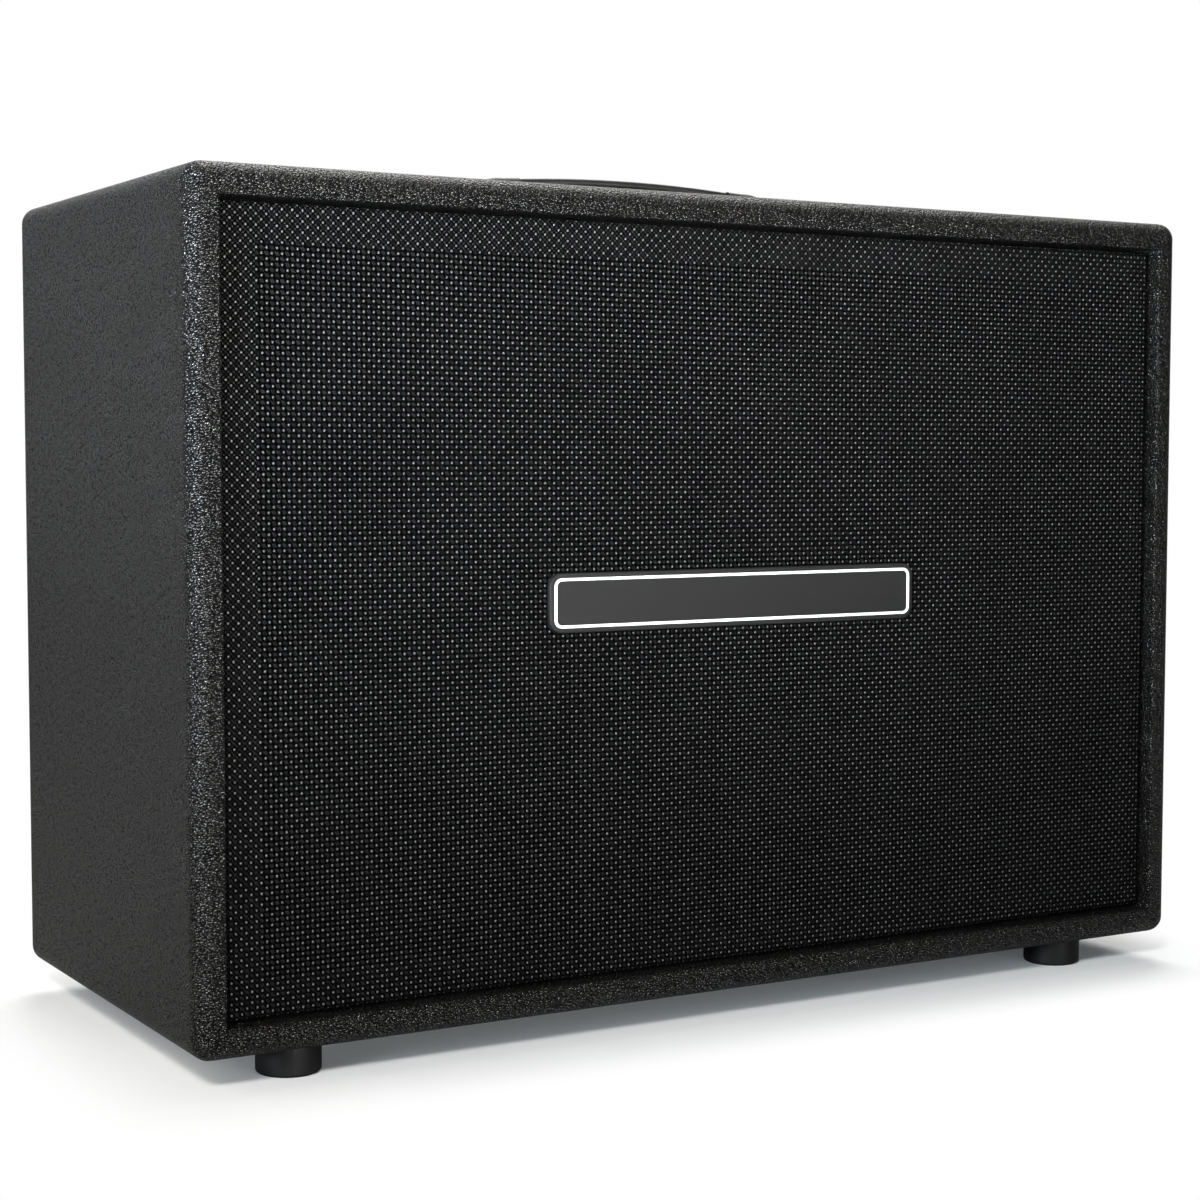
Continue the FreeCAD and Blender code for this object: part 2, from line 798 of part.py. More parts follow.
def surround():
    depth = gasket - edge_sheet
    roll_end = bowl_radius - fit_gap
    path = [(cone_radius - cone_lip, depth), (cone_radius, depth)]
    path += rolls(cone_radius, roll_end, edge_rolls, edge_roll_height, depth)
    return pressed_sheet(path + [(gasket_inner - hole_gap, depth)], edge_sheet)


def cone_depth(radius):
    outer = cone_radius - cone_lip
    return gasket + (outer - radius) * (neck_depth - gasket) / (outer - former_outer - hole_gap)


def paper_cone():
    outer = cone_radius - cone_lip
    neck = former_outer + hole_gap
    path = [(cone_radius, gasket), (outer, gasket)]
    for share in cone_rib_shares:
        mid = outer + (neck - outer) * share
        lead_in = mid + cone_rib / 2
        lead_out = mid - cone_rib / 2
        path.append((lead_in, cone_depth(lead_in)))
        path.append(((mid, cone_depth(mid) - cone_rib_height), (lead_out, cone_depth(lead_out))))
    return pressed_sheet(path + [(neck, cone_depth(neck))], cone_thickness)


def dust_cap():
    rim_depth = cone_depth(cap_radius) - cap_sheet - hole_gap
    sphere = (cap_radius ** 2 + cap_dome ** 2) / (2 * cap_dome)
    mid = cap_radius / 2
    mid_depth = rim_depth - cap_dome + sphere - math.sqrt(sphere ** 2 - mid ** 2)
    path = [(0, rim_depth - cap_dome), ((mid, mid_depth), (cap_radius, rim_depth))]
    return pressed_sheet(path, cap_sheet)


def spider():
    depth = ledge_depth - spider_sheet
    spider_neck = former_outer + spider_collar
    path = [(former_outer + hole_gap, depth), (spider_neck, depth)]
    path += rolls(spider_neck, pot_radius, spider_rolls, spider_roll_height, depth)
    return pressed_sheet(path + [(ledge_radius - spider_margin, depth)], spider_sheet)


def voice_coil():
    coil_mid = (plate_front + plate_back) / 2
    former_front = neck_depth - former_lead
    former_back = plate_back + former_tail
    coil_front = coil_mid - winding_length / 2
    coil_back = coil_mid + winding_length / 2
    return turned([(former_inner, former_front), (former_outer, former_front), (former_outer, coil_front),
                   (coil_outer, coil_front), (coil_outer, coil_back), (former_outer, coil_back),
                   (former_outer, former_back), (former_inner, former_back)])


def top_plate():
    outer = pot_radius + plate_edge
    return turned([(gap_outer, plate_front), (outer, plate_front),
                   (outer, plate_back), (gap_outer, plate_back)])


def magnet():
    return turned([(magnet_inner, plate_back), (magnet_radius, plate_back),
                   (magnet_radius, magnet_back), (magnet_inner, magnet_back)])


def pole_yoke():
    pole_radius = former_inner - coil_gap
    yoke_radius = magnet_radius - yoke_edge
    return turned([(0, plate_front), (pole_radius, plate_front), (pole_radius, magnet_back),
                   (yoke_radius, magnet_back), (yoke_radius, magnet_back + yoke_thickness),
                   (0, magnet_back + yoke_thickness)])


def tag_board(side):
    low = ledge_depth + basket_sheet
    high = low + tag_board_sheet
    parts = [block(tag_board_inner, tag_board_reach, -tag_board_width / 2, tag_board_width / 2, low, high)]
    for row in (-1, 1):
        y = row * tag_spacing / 2
        parts.append(block(tag_board_reach - tag_length, tag_board_reach + tag_length / 2,
                           y - tag_width / 2, y + tag_width / 2, high, high + tag_sheet))
    board = joined(parts)
    return board if side > 0 else board.mirror(Vec(0, 0, 0), x_axis)


def on_driver(shape, centre_x):
    moved = shape.copy()
    turn = FreeCAD.Rotation(x_axis, -quarter_turn)
    moved.Placement = FreeCAD.Placement(Vec(centre_x, baffle_back, mid_z), turn)
    return moved


def speaker_nuts():
    hole = speaker_bolt["shank_radius"] + hole_gap
    return Part.Compound([hex_nut(nut_flats, nut_thickness, hole, seat, y_axis)
                          for seat in bolt_seats(baffle_back + flange_back)])


# Leads run from the back of a socket to the tags of a drive unit
def bent_wire(points, radius):
    edges = []
    at = points[0]
    for before, corner, after in zip(points, points[1:], points[2:]):
        inward = (before - corner).normalize()
        onward = (after - corner).normalize()
        half = inward.getAngle(onward) / 2
        reach = radius / math.tan(half)
        start = corner + inward * reach
        end = corner + onward * reach
        axis = (inward + onward).normalize()
        via = corner + axis * (radius / math.sin(half) - radius)
        edges.append(Part.makeLine(at, start))
        edges.append(Part.Arc(start, via, end).toShape())
        at = end
    edges.append(Part.makeLine(at, points[-1]))
    return Part.Wire(edges)


def speaker_leads():
    leads = []
    tag_face = baffle_back + ledge_depth + basket_sheet + tag_board_sheet + tag_sheet
    for side in (-1, 1):
        tag_x = side * (driver_x - tag_board_reach + tag_length / 4)
        for row in (-1, 1):
            start_x = side * jack_spacing / 2 + row * tag_spacing / 4
            start = Vec(start_x, jack_seat - jack_body_length, dish_z)
            end = Vec(tag_x, tag_face, mid_z + row * tag_spacing / 2)
            points = [start, start - y_axis * lead_run, end + y_axis * lead_run, end]
            wire = bent_wire(points, lead_bend)
            ring = Part.Wire(Part.makeCircle(lead_radius, start, y_axis))
            leads.append(wire.makePipeShell([ring], True, True))
    return Part.Compound(leads)


def screw_set(size, seats, axis):
    return Part.Compound([fastener(size, seat, axis) for seat in seats])


parts = dict(
    top_panel=top_panel(),
    bottom_panel=bottom_panel(),
    left_side_panel=side_panel(-1),
    right_side_panel=side_panel(1),
    vinyl_covering=vinyl_covering(),
    baffle_board=baffle_board(),
    baffle_battens=baffle_battens(),
    baffle_screws=screw_set(board_screw, board_seats(baffle_front), -y_axis),
    back_panel=back_panel(),
    back_battens=back_battens(),
    back_screws=screw_set(board_screw, board_seats(panel_back), y_axis),
    centre_brace=centre_brace(),
    foot_washers=foot_washers(),
    foot_screws=screw_set(foot_screw, foot_seats(), -z_axis),
    handle_hood_left=handle_hood(-1),
    handle_hood_right=handle_hood(1),
    handle_strap=handle_strap(),
    handle_grip=handle_grip(),
    handle_screws=screw_set(handle_screw, handle_seats(), z_axis),
    handle_tee_nuts=tee_nuts(),
    grille_frame=grille_frame(),
    grille_cloth=grille_cloth(),
    grille_loop_pads=pad_set(hem_back),
    baffle_hook_pads=pad_set(hem_back + pad_thickness),
    badge_plate=badge_plate(),
    badge_keyline=badge_keyline(),
    badge_push_nuts=push_nuts(),
    jack_dish=jack_dish(),
    jack_dish_screws=screw_set(dish_screw, dish_seats(), y_axis),
    jack_sockets=jack_sockets(),
    jack_nuts=jack_nuts(),
    speaker_bolts=screw_set(speaker_bolt, bolt_seats(baffle_front), -y_axis),
    speaker_nuts=speaker_nuts(),
    speaker_leads=speaker_leads(),
)

for corner, place in foot_places().items():
    parts["foot_" + corner] = rubber_foot(place)

drive_unit = dict(basket=basket(), gasket=gasket_ring(), surround=surround(), cone=paper_cone(),
                  dust_cap=dust_cap(), spider=spider(), voice_coil=voice_coil(), top_plate=top_plate(),
                  magnet=magnet(), pole_yoke=pole_yoke())
for hand, centre_x in driver_centres().items():
    for piece, shape in drive_unit.items():
        parts[hand + "_" + piece] = on_driver(shape, centre_x)
    parts[hand + "_tag_board"] = on_driver(tag_board(-centre_x), centre_x)

os.makedirs("parts", exist_ok=True)
for node, shape in parts.items():
    shape.exportStep("parts/" + node + ".step")
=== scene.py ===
import json
import math
import random

import bmesh
import bpy
from mathutils import Matrix, Vector, noise


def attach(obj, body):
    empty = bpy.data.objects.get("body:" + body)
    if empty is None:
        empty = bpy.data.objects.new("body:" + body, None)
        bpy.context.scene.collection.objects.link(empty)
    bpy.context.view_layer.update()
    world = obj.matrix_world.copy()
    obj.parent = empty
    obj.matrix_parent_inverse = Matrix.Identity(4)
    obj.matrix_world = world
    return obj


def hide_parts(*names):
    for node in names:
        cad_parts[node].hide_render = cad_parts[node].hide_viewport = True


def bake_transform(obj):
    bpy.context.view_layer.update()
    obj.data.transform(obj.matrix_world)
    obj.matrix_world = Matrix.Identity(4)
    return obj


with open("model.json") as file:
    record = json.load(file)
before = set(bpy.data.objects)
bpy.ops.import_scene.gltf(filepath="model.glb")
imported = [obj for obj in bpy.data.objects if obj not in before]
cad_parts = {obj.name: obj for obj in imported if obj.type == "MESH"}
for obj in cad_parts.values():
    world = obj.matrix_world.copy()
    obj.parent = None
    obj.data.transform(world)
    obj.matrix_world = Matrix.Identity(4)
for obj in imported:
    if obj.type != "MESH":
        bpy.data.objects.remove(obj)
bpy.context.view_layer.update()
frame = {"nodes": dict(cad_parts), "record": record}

scene = bpy.context.scene
nodes = frame["nodes"]
mm = 0.001
sides = (-1, 1)
fourCorners = [(first, second) for first in sides for second in sides]
print("frame loaded:", len(nodes), "nodes")


# a method that sends a wire, and what it meets, through one Math node
def sums(operation):
    def method(self, *others):
        return self.maths(operation, *others)
    return method


# shader maths: a socket that takes part in sums
class Wire:
    __add__ = __radd__ = sums("ADD")
    __sub__ = sums("SUBTRACT")
    __mul__ = __rmul__ = sums("MULTIPLY")
    __truediv__ = sums("DIVIDE")
    __mod__ = sums("FLOORED_MODULO")
    __pow__ = sums("POWER")
    __abs__ = sums("ABSOLUTE")
    __floor__ = sums("FLOOR")
    cosine = sums("COSINE")
    orMore = sums("MAXIMUM")
    orLess = sums("MINIMUM")

    def __init__(self, board, socket):
        self.board = board
        self.socket = socket

    def maths(self, operation, *others):
        return self.board.node("ShaderNodeMath", {"operation": operation}, [self, *others])

    def __rsub__(self, other):
        return self.board.node("ShaderNodeMath", {"operation": "SUBTRACT"}, [other, self])

    def root(self):
        return self.maths("MAXIMUM", 0.0).maths("SQRT")

    # from one value at 0 to another at 1
    def between(self, atZero, atOne):
        return self * (atOne - atZero) + atZero

    def step(self, low, high, fromValue=0.0, toValue=1.0):
        return self.board.node("ShaderNodeMapRange", {"interpolation_type": "SMOOTHSTEP"},
                               [self, low, high, fromValue, toValue])


# one node tree, with one way of adding nodes to it
class Board:
    def __init__(self, tree):
        self.tree = tree

    def node(self, kind, settings, sockets, out=0):
        made = self.tree.nodes.new(kind)
        for name, value in settings.items():
            setattr(made, name, value)
        pairs = sockets.items() if isinstance(sockets, dict) else enumerate(sockets)
        for key, value in pairs:
            self.join(value, made.inputs[key])
        return Wire(self, made.outputs[out])

    def join(self, value, socket):
        if isinstance(value, Wire):
            self.tree.links.new(value.socket, socket)
        else:
            socket.default_value = value

    def mixColour(self, share, first, second):
        sockets = {0: share, 6: first, 7: second}
        return self.node("ShaderNodeMix", {"data_type": "RGBA"}, sockets, 2)

    def vectors(self, operation, *values):
        return self.node("ShaderNodeVectorMath", {"operation": operation}, values)

    def stretch(self, vector, share):
        return self.node("ShaderNodeVectorMath", {"operation": "SCALE"}, {0: vector, 3: share})

    def place(self):
        return self.node("ShaderNodeTexCoord", {}, [], "Object")

    def parts(self, vector):
        split = self.node("ShaderNodeSeparateXYZ", {}, [vector]).socket.node
        return [Wire(self, socket) for socket in split.outputs]

    def turned(self, vector, rotation, scale):
        sockets = {"Vector": vector, "Rotation": rotation, "Scale": scale}
        return self.node("ShaderNodeMapping", {}, sockets)

    def clouds(self, vector, size, detail=2.0, out=0):
        sockets = {"Vector": vector, "Scale": 1 / size, "Detail": detail}
        return self.node("ShaderNodeTexNoise", {}, sockets, out)

    def cells(self, vector, size, feature, out="Distance"):
        sockets = {"Vector": vector, "Scale": 1 / size}
        return self.node("ShaderNodeTexVoronoi", {"feature": feature}, sockets, out)


socketNames = dict(
    colour="Base Color", roughness="Roughness", metallic="Metallic", normal="Normal",
    specular="Specular IOR Level", sheen="Sheen Weight", sheenRoughness="Sheen Roughness")


# a material: its board, its shader and the two ways of feeding it
class Finish(Board):
    def __init__(self, name, **fixed):
        self.material = bpy.data.materials.new(name)
        self.material.use_nodes = True
        super().__init__(self.material.node_tree)
        self.shader = self.tree.nodes["Principled BSDF"]
        self.feed(**fixed)

    def feed(self, **values):
        for socket, value in values.items():
            self.join(value, self.shader.inputs[socketNames[socket]])

    def emboss(self, height, depth):
        sockets = {"Height": height, "Distance": depth}
        self.feed(normal=self.node("ShaderNodeBump", {}, sockets))


def grey(level, tint=0.0):
    return (level * (1 - tint), level, level * (1 + tint), 1.0)


# finishes; a band holds the ends of a step, and two more numbers are its values there
vinylLook = dict(
    creaseShade=grey(0.001), crown=grey(0.0096, -0.15), crownTone=(0.4, 1.0), grain=2.1 * mm,
    squeeze=1.8, lay=(0.3, 0.3, 0.0), warp=0.7 * mm, swaySize=2.2, depth=0.8 * mm, dome=0.85,
    domeReach=0.8, wall=0.5, creaseBand=(0.02, 0.17), stagger=0.12, lump=0.3, lumpSize=0.4,
    fold=1.1, foldSize=1.4, driftSize=60 * mm, drift=(0.2, 0.8, 0.85, 1.1), smooth=0.25, rough=0.45,
    roughSpread=0.12, specular=0.76, shade=0.92, glossTone=(0.6, 1.0), backGrain=1.5 * mm)


# leather-grained vinyl: pebbles drawn out along the sheet, glossy on their crowns,
# with painted shade in the creases between them: near-black and made metallic so they do not shine
def vinylFinish(name, look):
    f = Finish(name, specular=look["specular"])
    grain = look["grain"]
    place = f.place()
    cloud = f.clouds(place, grain * look["swaySize"], out="Color")
    sway = f.vectors("SUBTRACT", cloud, (0.5, 0.5, 0.5))
    bent = f.vectors("ADD", place, f.stretch(sway, look["warp"]))
    turned = f.turned(bent, look["lay"], (1.0, 1.0, 1.0))
    laid = f.vectors("MULTIPLY", turned, (1.0, 1.0, look["squeeze"]))
    edge = f.cells(laid, grain, "DISTANCE_TO_EDGE")
    centre = f.cells(laid, grain, "F1")
    tone = f.parts(f.cells(laid, grain, "F1", "Color"))[0]
    dome = 1.0 - (centre / look["domeReach"]) ** 2.0
    raised = edge.step(*look["creaseBand"])
    lump = f.clouds(laid, grain * look["lumpSize"])
    fold = f.clouds(bent, grain * look["foldSize"])
    broad = f.clouds(place, look["driftSize"], 3.0)
    height = (dome * look["dome"] + raised * look["wall"] + tone * look["stagger"]
              + lump * look["lump"] + fold * look["fold"])
    crown = raised * tone.between(*look["crownTone"]) * broad.step(*look["drift"])
    gloss = raised * tone.between(*look["glossTone"])  # none comes out of a crease
    # painted shade: the creases take a near-black colour, and the metallic shade kills their gloss
    f.feed(colour=f.mixColour(crown, look["creaseShade"], look["crown"]),
           metallic=(1.0 - gloss) * look["shade"],
           roughness=(raised.step(0.0, 1.0, look["rough"], look["smooth"])
                      + (lump - 0.5) * look["roughSpread"]))
    f.emboss(height, look["depth"])
    return f.material


clothLook = dict(
    pitchX=3.07 * mm, pitchZ=3.04 * mm, slant=0.5, pairGap=0.19, pairScale=2.4, barrel=0.46,
    crest=(0.25, 1.0), endsSunk=(1.0, 0.65), yarn=grey(0.0016), float=grey(0.105), ends=grey(0.013),
    hole=grey(0.0003), speck=grey(0.046), fibre=0.45 * mm, fibreRise=0.03, driftSize=90 * mm,
    drift=(0.25, 0.75, 0.85, 1.08), dotBand=(0.7, 1.0), dotChance=(0.8, 1.1), markCrest=(0.5, 1.0),
    markBand=(0.35, 0.95), markChance=(0.6, 1.2), markOnWood=(1.0, 0.45), holeBand=(0.26, 0.4),
    speckChance=(0.5, 1.3), rail=22 * mm, towardsLight=(-0.4, 1.8, 0.1, 1.0), rough=0.8, polish=0.46,
    polishBand=(0.4, 0.9), polishEnds=(1.0, 0.4), roughSpread=0.15, depth=0.85 * mm, specular=0.06,
    shade=0.95)


# basket weave: a fat glossy floating yarn in every other square, two fine ends side by side in the
# rest, each crest with a painted glint
def clothFinish(name, look, halfX, halfZ):
    f = Finish(name, specular=look["specular"])
    flat = f.node("ShaderNodeAttribute", {"attribute_name": "clothFlat"}, [], "Vector")
    flatX, flatZ = f.parts(flat)[:2]
    u = flatX / look["pitchX"]
    v = flatZ / look["pitchZ"]
    column = math.floor(u)
    row = math.floor(v)
    acrossU = u - column - 0.5
    acrossV = v - row - 0.5
    ends = (column + row) % 2.0
    floats = 1.0 - ends
    # the two fine ends are laid over to one side
    pair = (abs(acrossU + acrossV * look["slant"]) - look["pairGap"]) * look["pairScale"]
    across = acrossV * floats + pair * ends
    along = acrossU * floats + acrossV * ends
    barrel = (1.0 - (across / look["barrel"]) ** 2.0).root()
    crest = (along * math.pi).cosine()
    height = barrel * crest.between(*look["crest"]) * ends.between(*look["endsSunk"])
    knot = f.node("ShaderNodeCombineXYZ", {}, [column, row])
    chance = f.node("ShaderNodeTexWhiteNoise", {"noise_dimensions": "2D"}, {"Vector": knot})
    fibre = f.clouds(flat, look["fibre"])
    broad = f.clouds(flat, look["driftSize"])
    nearEdge = (halfX - abs(flatX)).orLess(halfZ - abs(flatZ))
    lean = flatZ / halfZ - flatX / halfX  # painted light: most at the top and the left, the side the light falls from
    litRail = (nearEdge.step(look["rail"] + mm, look["rail"] - mm)
              * lean.step(*look["towardsLight"]))
    # painted highlights: the crowns of the floats get a bright painted glint, the crests of the
    # fine ends a dim one
    glintDot = (height.step(*look["dotBand"]) * floats * chance.between(*look["dotChance"])
           * broad.step(*look["drift"]))
    endGlint = ((barrel * crest.between(*look["markCrest"])).step(*look["markBand"]) * ends
            * chance.between(*look["markChance"]) * litRail.between(*look["markOnWood"]))
    hole = abs(acrossU).step(*look["holeBand"]) * abs(acrossV).step(*look["holeBand"])
    woven = f.mixColour(endGlint, f.mixColour(glintDot, look["yarn"], look["float"]), look["ends"])
    # painted shade in the holes, near-black; over the rails the holes show the frame's wood,
    # painted lighter towards the top left where the light falls
    seen = f.mixColour(litRail * chance.between(*look["speckChance"]), look["hole"], look["speck"])
    polish = height.step(*look["polishBand"]) * ends.between(*look["polishEnds"])
    # painted shade: away from the glints the weave is metallic on a near-black colour, so nothing
    # shines there
    f.feed(colour=f.mixColour(hole, woven, seen),
           metallic=(1.0 - glintDot.orMore(endGlint)) * look["shade"],  # no gloss between the floats
           roughness=(look["rough"] - look["polish"] * polish
                      + (fibre - 0.5) * look["roughSpread"]))
    f.emboss(height + fibre * look["fibreRise"], look["depth"])
    return f.material


mouldedLook = dict(
    driftSize=28 * mm, band=(0.3, 0.7), fineShare=0.6, driftGloss=0.22, fineGloss=0.1)


# moulded or painted surfaces: two tones, a fine grain and a broad drift in the gloss
def mouldedFinish(name, tone, lighter, roughness, grain, depth, specular=0.5):
    look = mouldedLook
    f = Finish(name, specular=specular)
    place = f.place()
    fine = f.clouds(place, grain)
    broad = f.clouds(place, look["driftSize"], 3.0)
    share = (fine.step(*look["band"]) * look["fineShare"]
             + broad.step(*look["band"]) * (1 - look["fineShare"]))
    f.feed(colour=f.mixColour(share, tone, lighter),
           roughness=(roughness + (broad - 0.5) * look["driftGloss"]
                      + (fine - 0.5) * look["fineGloss"]))
    f.emboss(fine, depth)
    return f.material


metalLook = dict(
    cloud=6 * mm, band=(0.3, 0.7), cloudGloss=0.25, scratch=2.4 * mm, lay=(0.0, 0.0, 0.7),
    draw=(1.0, 14.0, 1.0), scratchGloss=0.12, depth=0.02 * mm)


# plated or blackened metal with fine scratches
def metalFinish(name, tone, lighter, roughness, metallic=1.0):
    look = metalLook
    f = Finish(name, metallic=metallic)
    place = f.place()
    cloud = f.clouds(place, look["cloud"], 4.0)
    scratch = f.clouds(f.turned(place, look["lay"], look["draw"]), look["scratch"])
    f.feed(colour=f.mixColour(cloud.step(*look["band"]), tone, lighter),
           roughness=(roughness + (cloud - 0.5) * look["cloudGloss"]
                      + (scratch - 0.5) * look["scratchGloss"]))
    f.emboss(scratch, look["depth"])
    return f.material


woodLook = dict(
    driftSize=40 * mm, drift=6 * mm, ring=5 * mm, ringBand=(0.35, 0.65), pore=0.8 * mm,
    poreBand=(0.55, 0.75), poreShare=0.6, poreGloss=0.15, ringGloss=0.06, ringRise=0.4,
    depth=0.08 * mm, specular=0.4, paint=grey(0.003))


# boards: rings and pores drawn out along the grain
def woodFinish(name, pale, dark, pores, roughness, grainLength, paintedTo=None):
    look = woodLook
    f = Finish(name, specular=look["specular"])
    place = f.place()
    drift = f.stretch(f.clouds(place, look["driftSize"], out="Color"), look["drift"])
    line = f.turned(f.vectors("ADD", place, drift), (0.0, 0.0, 0.0), grainLength)
    ring = f.clouds(line, look["ring"], 3.0).step(*look["ringBand"])
    pore = f.clouds(line, look["pore"], 1.0).step(*look["poreBand"])
    surface = f.mixColour(pore * look["poreShare"], f.mixColour(ring, pale, dark), pores)
    if paintedTo is not None:  # black paint in the mouth, behind the covering's edge
        painted = f.parts(place)[1].step(paintedTo + mm, paintedTo)
        surface = f.mixColour(painted, surface, look["paint"])
    f.feed(colour=surface,
           roughness=roughness + pore * look["poreGloss"] - ring * look["ringGloss"])
    f.emboss(ring * look["ringRise"] - pore, look["depth"])
    return f.material


fibreLook = dict(
    clump=7, strandBand=(0.1, 0.7), clumpBand=(0.3, 0.7), strandShare=0.5, clumpGloss=0.2,
    strandRise=0.6, specular=0.25, sheenRoughness=0.5)


# pressed or woven fibre: strands gathered in clumps
def fibreFinish(name, tone, lighter, roughness, fibre, depth, sheen=0.0):
    look = fibreLook
    f = Finish(name, specular=look["specular"], sheen=sheen,
               sheenRoughness=look["sheenRoughness"])
    place = f.place()
    strand = f.cells(place, fibre, "F1")
    clump = f.clouds(place, fibre * look["clump"], 4.0)
    share = (strand.step(*look["strandBand"]) * look["strandShare"]
             + clump.step(*look["clumpBand"]) * (1 - look["strandShare"]))
    f.feed(colour=f.mixColour(share, tone, lighter),
           roughness=roughness + (clump - 0.5) * look["clumpGloss"])
    f.emboss(strand * look["strandRise"] + clump * (1 - look["strandRise"]), depth)
    return f.material


ringedLook = dict(cloud=3 * mm, band=(-0.8, 0.8), fade=(0.6, 1.1), gloss=0.2, rise=0.2)


# a disc of wire or of woven cloth: rings round a drive unit's axis, in the pitch given
def ringedFinish(name, tone, lighter, pitch, roughness, metallic):
    look = ringedLook
    f = Finish(name, metallic=metallic)
    place = f.place()
    x, y, z = f.parts(place)
    across = abs(x) - driver["x"]
    up = z - driver["z"]
    radius = (across * across + up * up).root()
    thread = ((radius + y) / pitch * (2 * math.pi)).cosine()
    cloud = f.clouds(place, look["cloud"], 3.0)
    share = thread.step(*look["band"]) * cloud.between(*look["fade"])
    f.feed(colour=f.mixColour(share, tone, lighter),
           roughness=roughness + (cloud - 0.5) * look["gloss"])
    f.emboss(thread, pitch * look["rise"])
    return f.material


# sizes shared with the solids, in metres
shell = dict(
    halfX=360 * mm, halfZ=247.5 * mm, front=-157.5 * mm, back=157.5 * mm, midZ=268 * mm,
    edge=11 * mm, rim=18.3 * mm, arris=1.4 * mm, skin=0.65 * mm, frontReturn=-131 * mm,
    backReturn=134.5 * mm, paintedTo=-110 * mm)
driver = dict(x=165.175 * mm, z=268 * mm, boltCircle=148.475 * mm, bolts=8)

finishes = {
    "black_vinyl": vinylFinish("blackVinyl", vinylLook),
    "back_vinyl": vinylFinish("backVinyl", dict(vinylLook, grain=vinylLook["backGrain"])),
    "ply": woodFinish("birchPly", (0.62, 0.46, 0.29, 1), (0.50, 0.34, 0.19, 1),
                      (0.33, 0.21, 0.11, 1), 0.62, (0.12, 0.12, 0.6), shell["paintedTo"]),
    "pine": woodFinish("plainPine", (0.66, 0.48, 0.28, 1), (0.52, 0.33, 0.16, 1),
                       (0.36, 0.20, 0.09, 1), 0.6, (0.15, 0.5, 0.5)),
    "baffle_black": woodFinish("paintedBoard", grey(0.011), grey(0.008), grey(0.004), 0.72,
                               (0.1, 0.6, 0.6)),
    "hook_loop": fibreFinish("hookAndLoop", grey(0.006), grey(0.016), 0.9, 0.5 * mm, 0.4 * mm,
                             0.3),
    "black_steel": metalFinish("blackSteel", grey(0.016), grey(0.030), 0.36, 0.75),
    "zinc_steel": metalFinish("zincSteel", grey(0.46, 0.02), grey(0.62, 0.02), 0.32),
    "basket_paint": mouldedFinish("basketPaint", grey(0.036, 0.04), grey(0.050, 0.04), 0.40,
                                  0.5 * mm, 0.03 * mm),
    "gasket_cork": fibreFinish("gasketCork", (0.060, 0.045, 0.032, 1), (0.17, 0.13, 0.09, 1),
                               0.85, 1.1 * mm, 0.2 * mm),
    "cone_edge": fibreFinish("dopedEdge", grey(0.010), grey(0.024), 0.5, 0.6 * mm, 0.08 * mm),
    "cone_paper": fibreFinish("conePaper", grey(0.022), grey(0.046), 0.82, 0.9 * mm,
                              0.12 * mm),
    "spider_cloth": ringedFinish("spiderCloth", (0.30, 0.17, 0.05, 1), (0.56, 0.38, 0.16, 1),
                                 0.8 * mm, 0.7, 0.0),
    "coil_copper": ringedFinish("coilCopper", (0.40, 0.16, 0.07, 1), (0.80, 0.44, 0.22, 1),
                                0.5 * mm, 0.35, 1.0),
    "ferrite": fibreFinish("ferrite", grey(0.035, 0.02), grey(0.075, 0.02), 0.55, 0.5 * mm,
                           0.05 * mm),
    "tag_fibre": fibreFinish("tagFibre", (0.15, 0.07, 0.03, 1), (0.30, 0.16, 0.08, 1), 0.7,
                             0.6 * mm, 0.05 * mm),
}
# moulded pieces: two levels of grey, roughness, grain and depth in millimetres, specular
moulded = {
    "foot_rubber": ("footRubber", 0.005, 0.009, 0.5, 0.5, 0.03, 0.25),
    "handle_black": ("handleNylon", 0.012, 0.018, 0.46, 0.45, 0.03, 0.5),
    "strap_vinyl": ("strapVinyl", 0.011, 0.016, 0.40, 0.6, 0.03, 0.5),
    "badge_black": ("badgeBlack", 0.005, 0.008, 0.55, 0.4, 0.02, 0.22),
    "badge_white": ("badgeWhite", 0.72, 0.80, 0.34, 0.8, 0.01, 0.5),
    "dish_black": ("dishBlack", 0.012, 0.020, 0.55, 0.6, 0.06, 0.5),
    "jack_nylon": ("jackNylon", 0.014, 0.020, 0.42, 0.5, 0.02, 0.5),
    "lead_sheath": ("leadSheath", 0.012, 0.018, 0.5, 0.6, 0.02, 0.5),
}
for slotName, (name, tone, lighter, roughness, grain, depth, specular) in moulded.items():
    finishes[slotName] = mouldedFinish(name, grey(tone), grey(lighter), roughness, grain * mm,
                                       depth * mm, specular)
slotOf = {row["node"]: row["material_slot"] for row in frame["record"]["subparts"]}
for node, slotName in slotOf.items():
    if slotName in finishes:
        nodes[node].data.materials.clear()
        nodes[node].data.materials.append(finishes[slotName])
print("finishes made:", len(finishes))


# meshes
def placed(name, mesh, sharpAngle):
    mesh.shade_smooth()
    mesh.set_sharp_from_angle(angle=math.radians(sharpAngle))
    made = bpy.data.objects.new(name, mesh)
    scene.collection.objects.link(made)
    return made


def meshFrom(name, points, faces, sharpAngle=40):
    mesh = bpy.data.meshes.new(name)
    mesh.from_pydata([tuple(p) for p in points], [], faces)
    form = bmesh.new()
    form.from_mesh(mesh)
    bmesh.ops.recalc_face_normals(form, faces=form.faces)
    form.to_mesh(mesh)
    form.free()
    return placed(name, mesh, sharpAngle)


def dress(piece, body, slotName, *stoodFor, finish=None):
    piece.data.materials.append(finish or finishes[slotName])
    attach(piece, body)
    if stoodFor:
        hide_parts(*stoodFor)


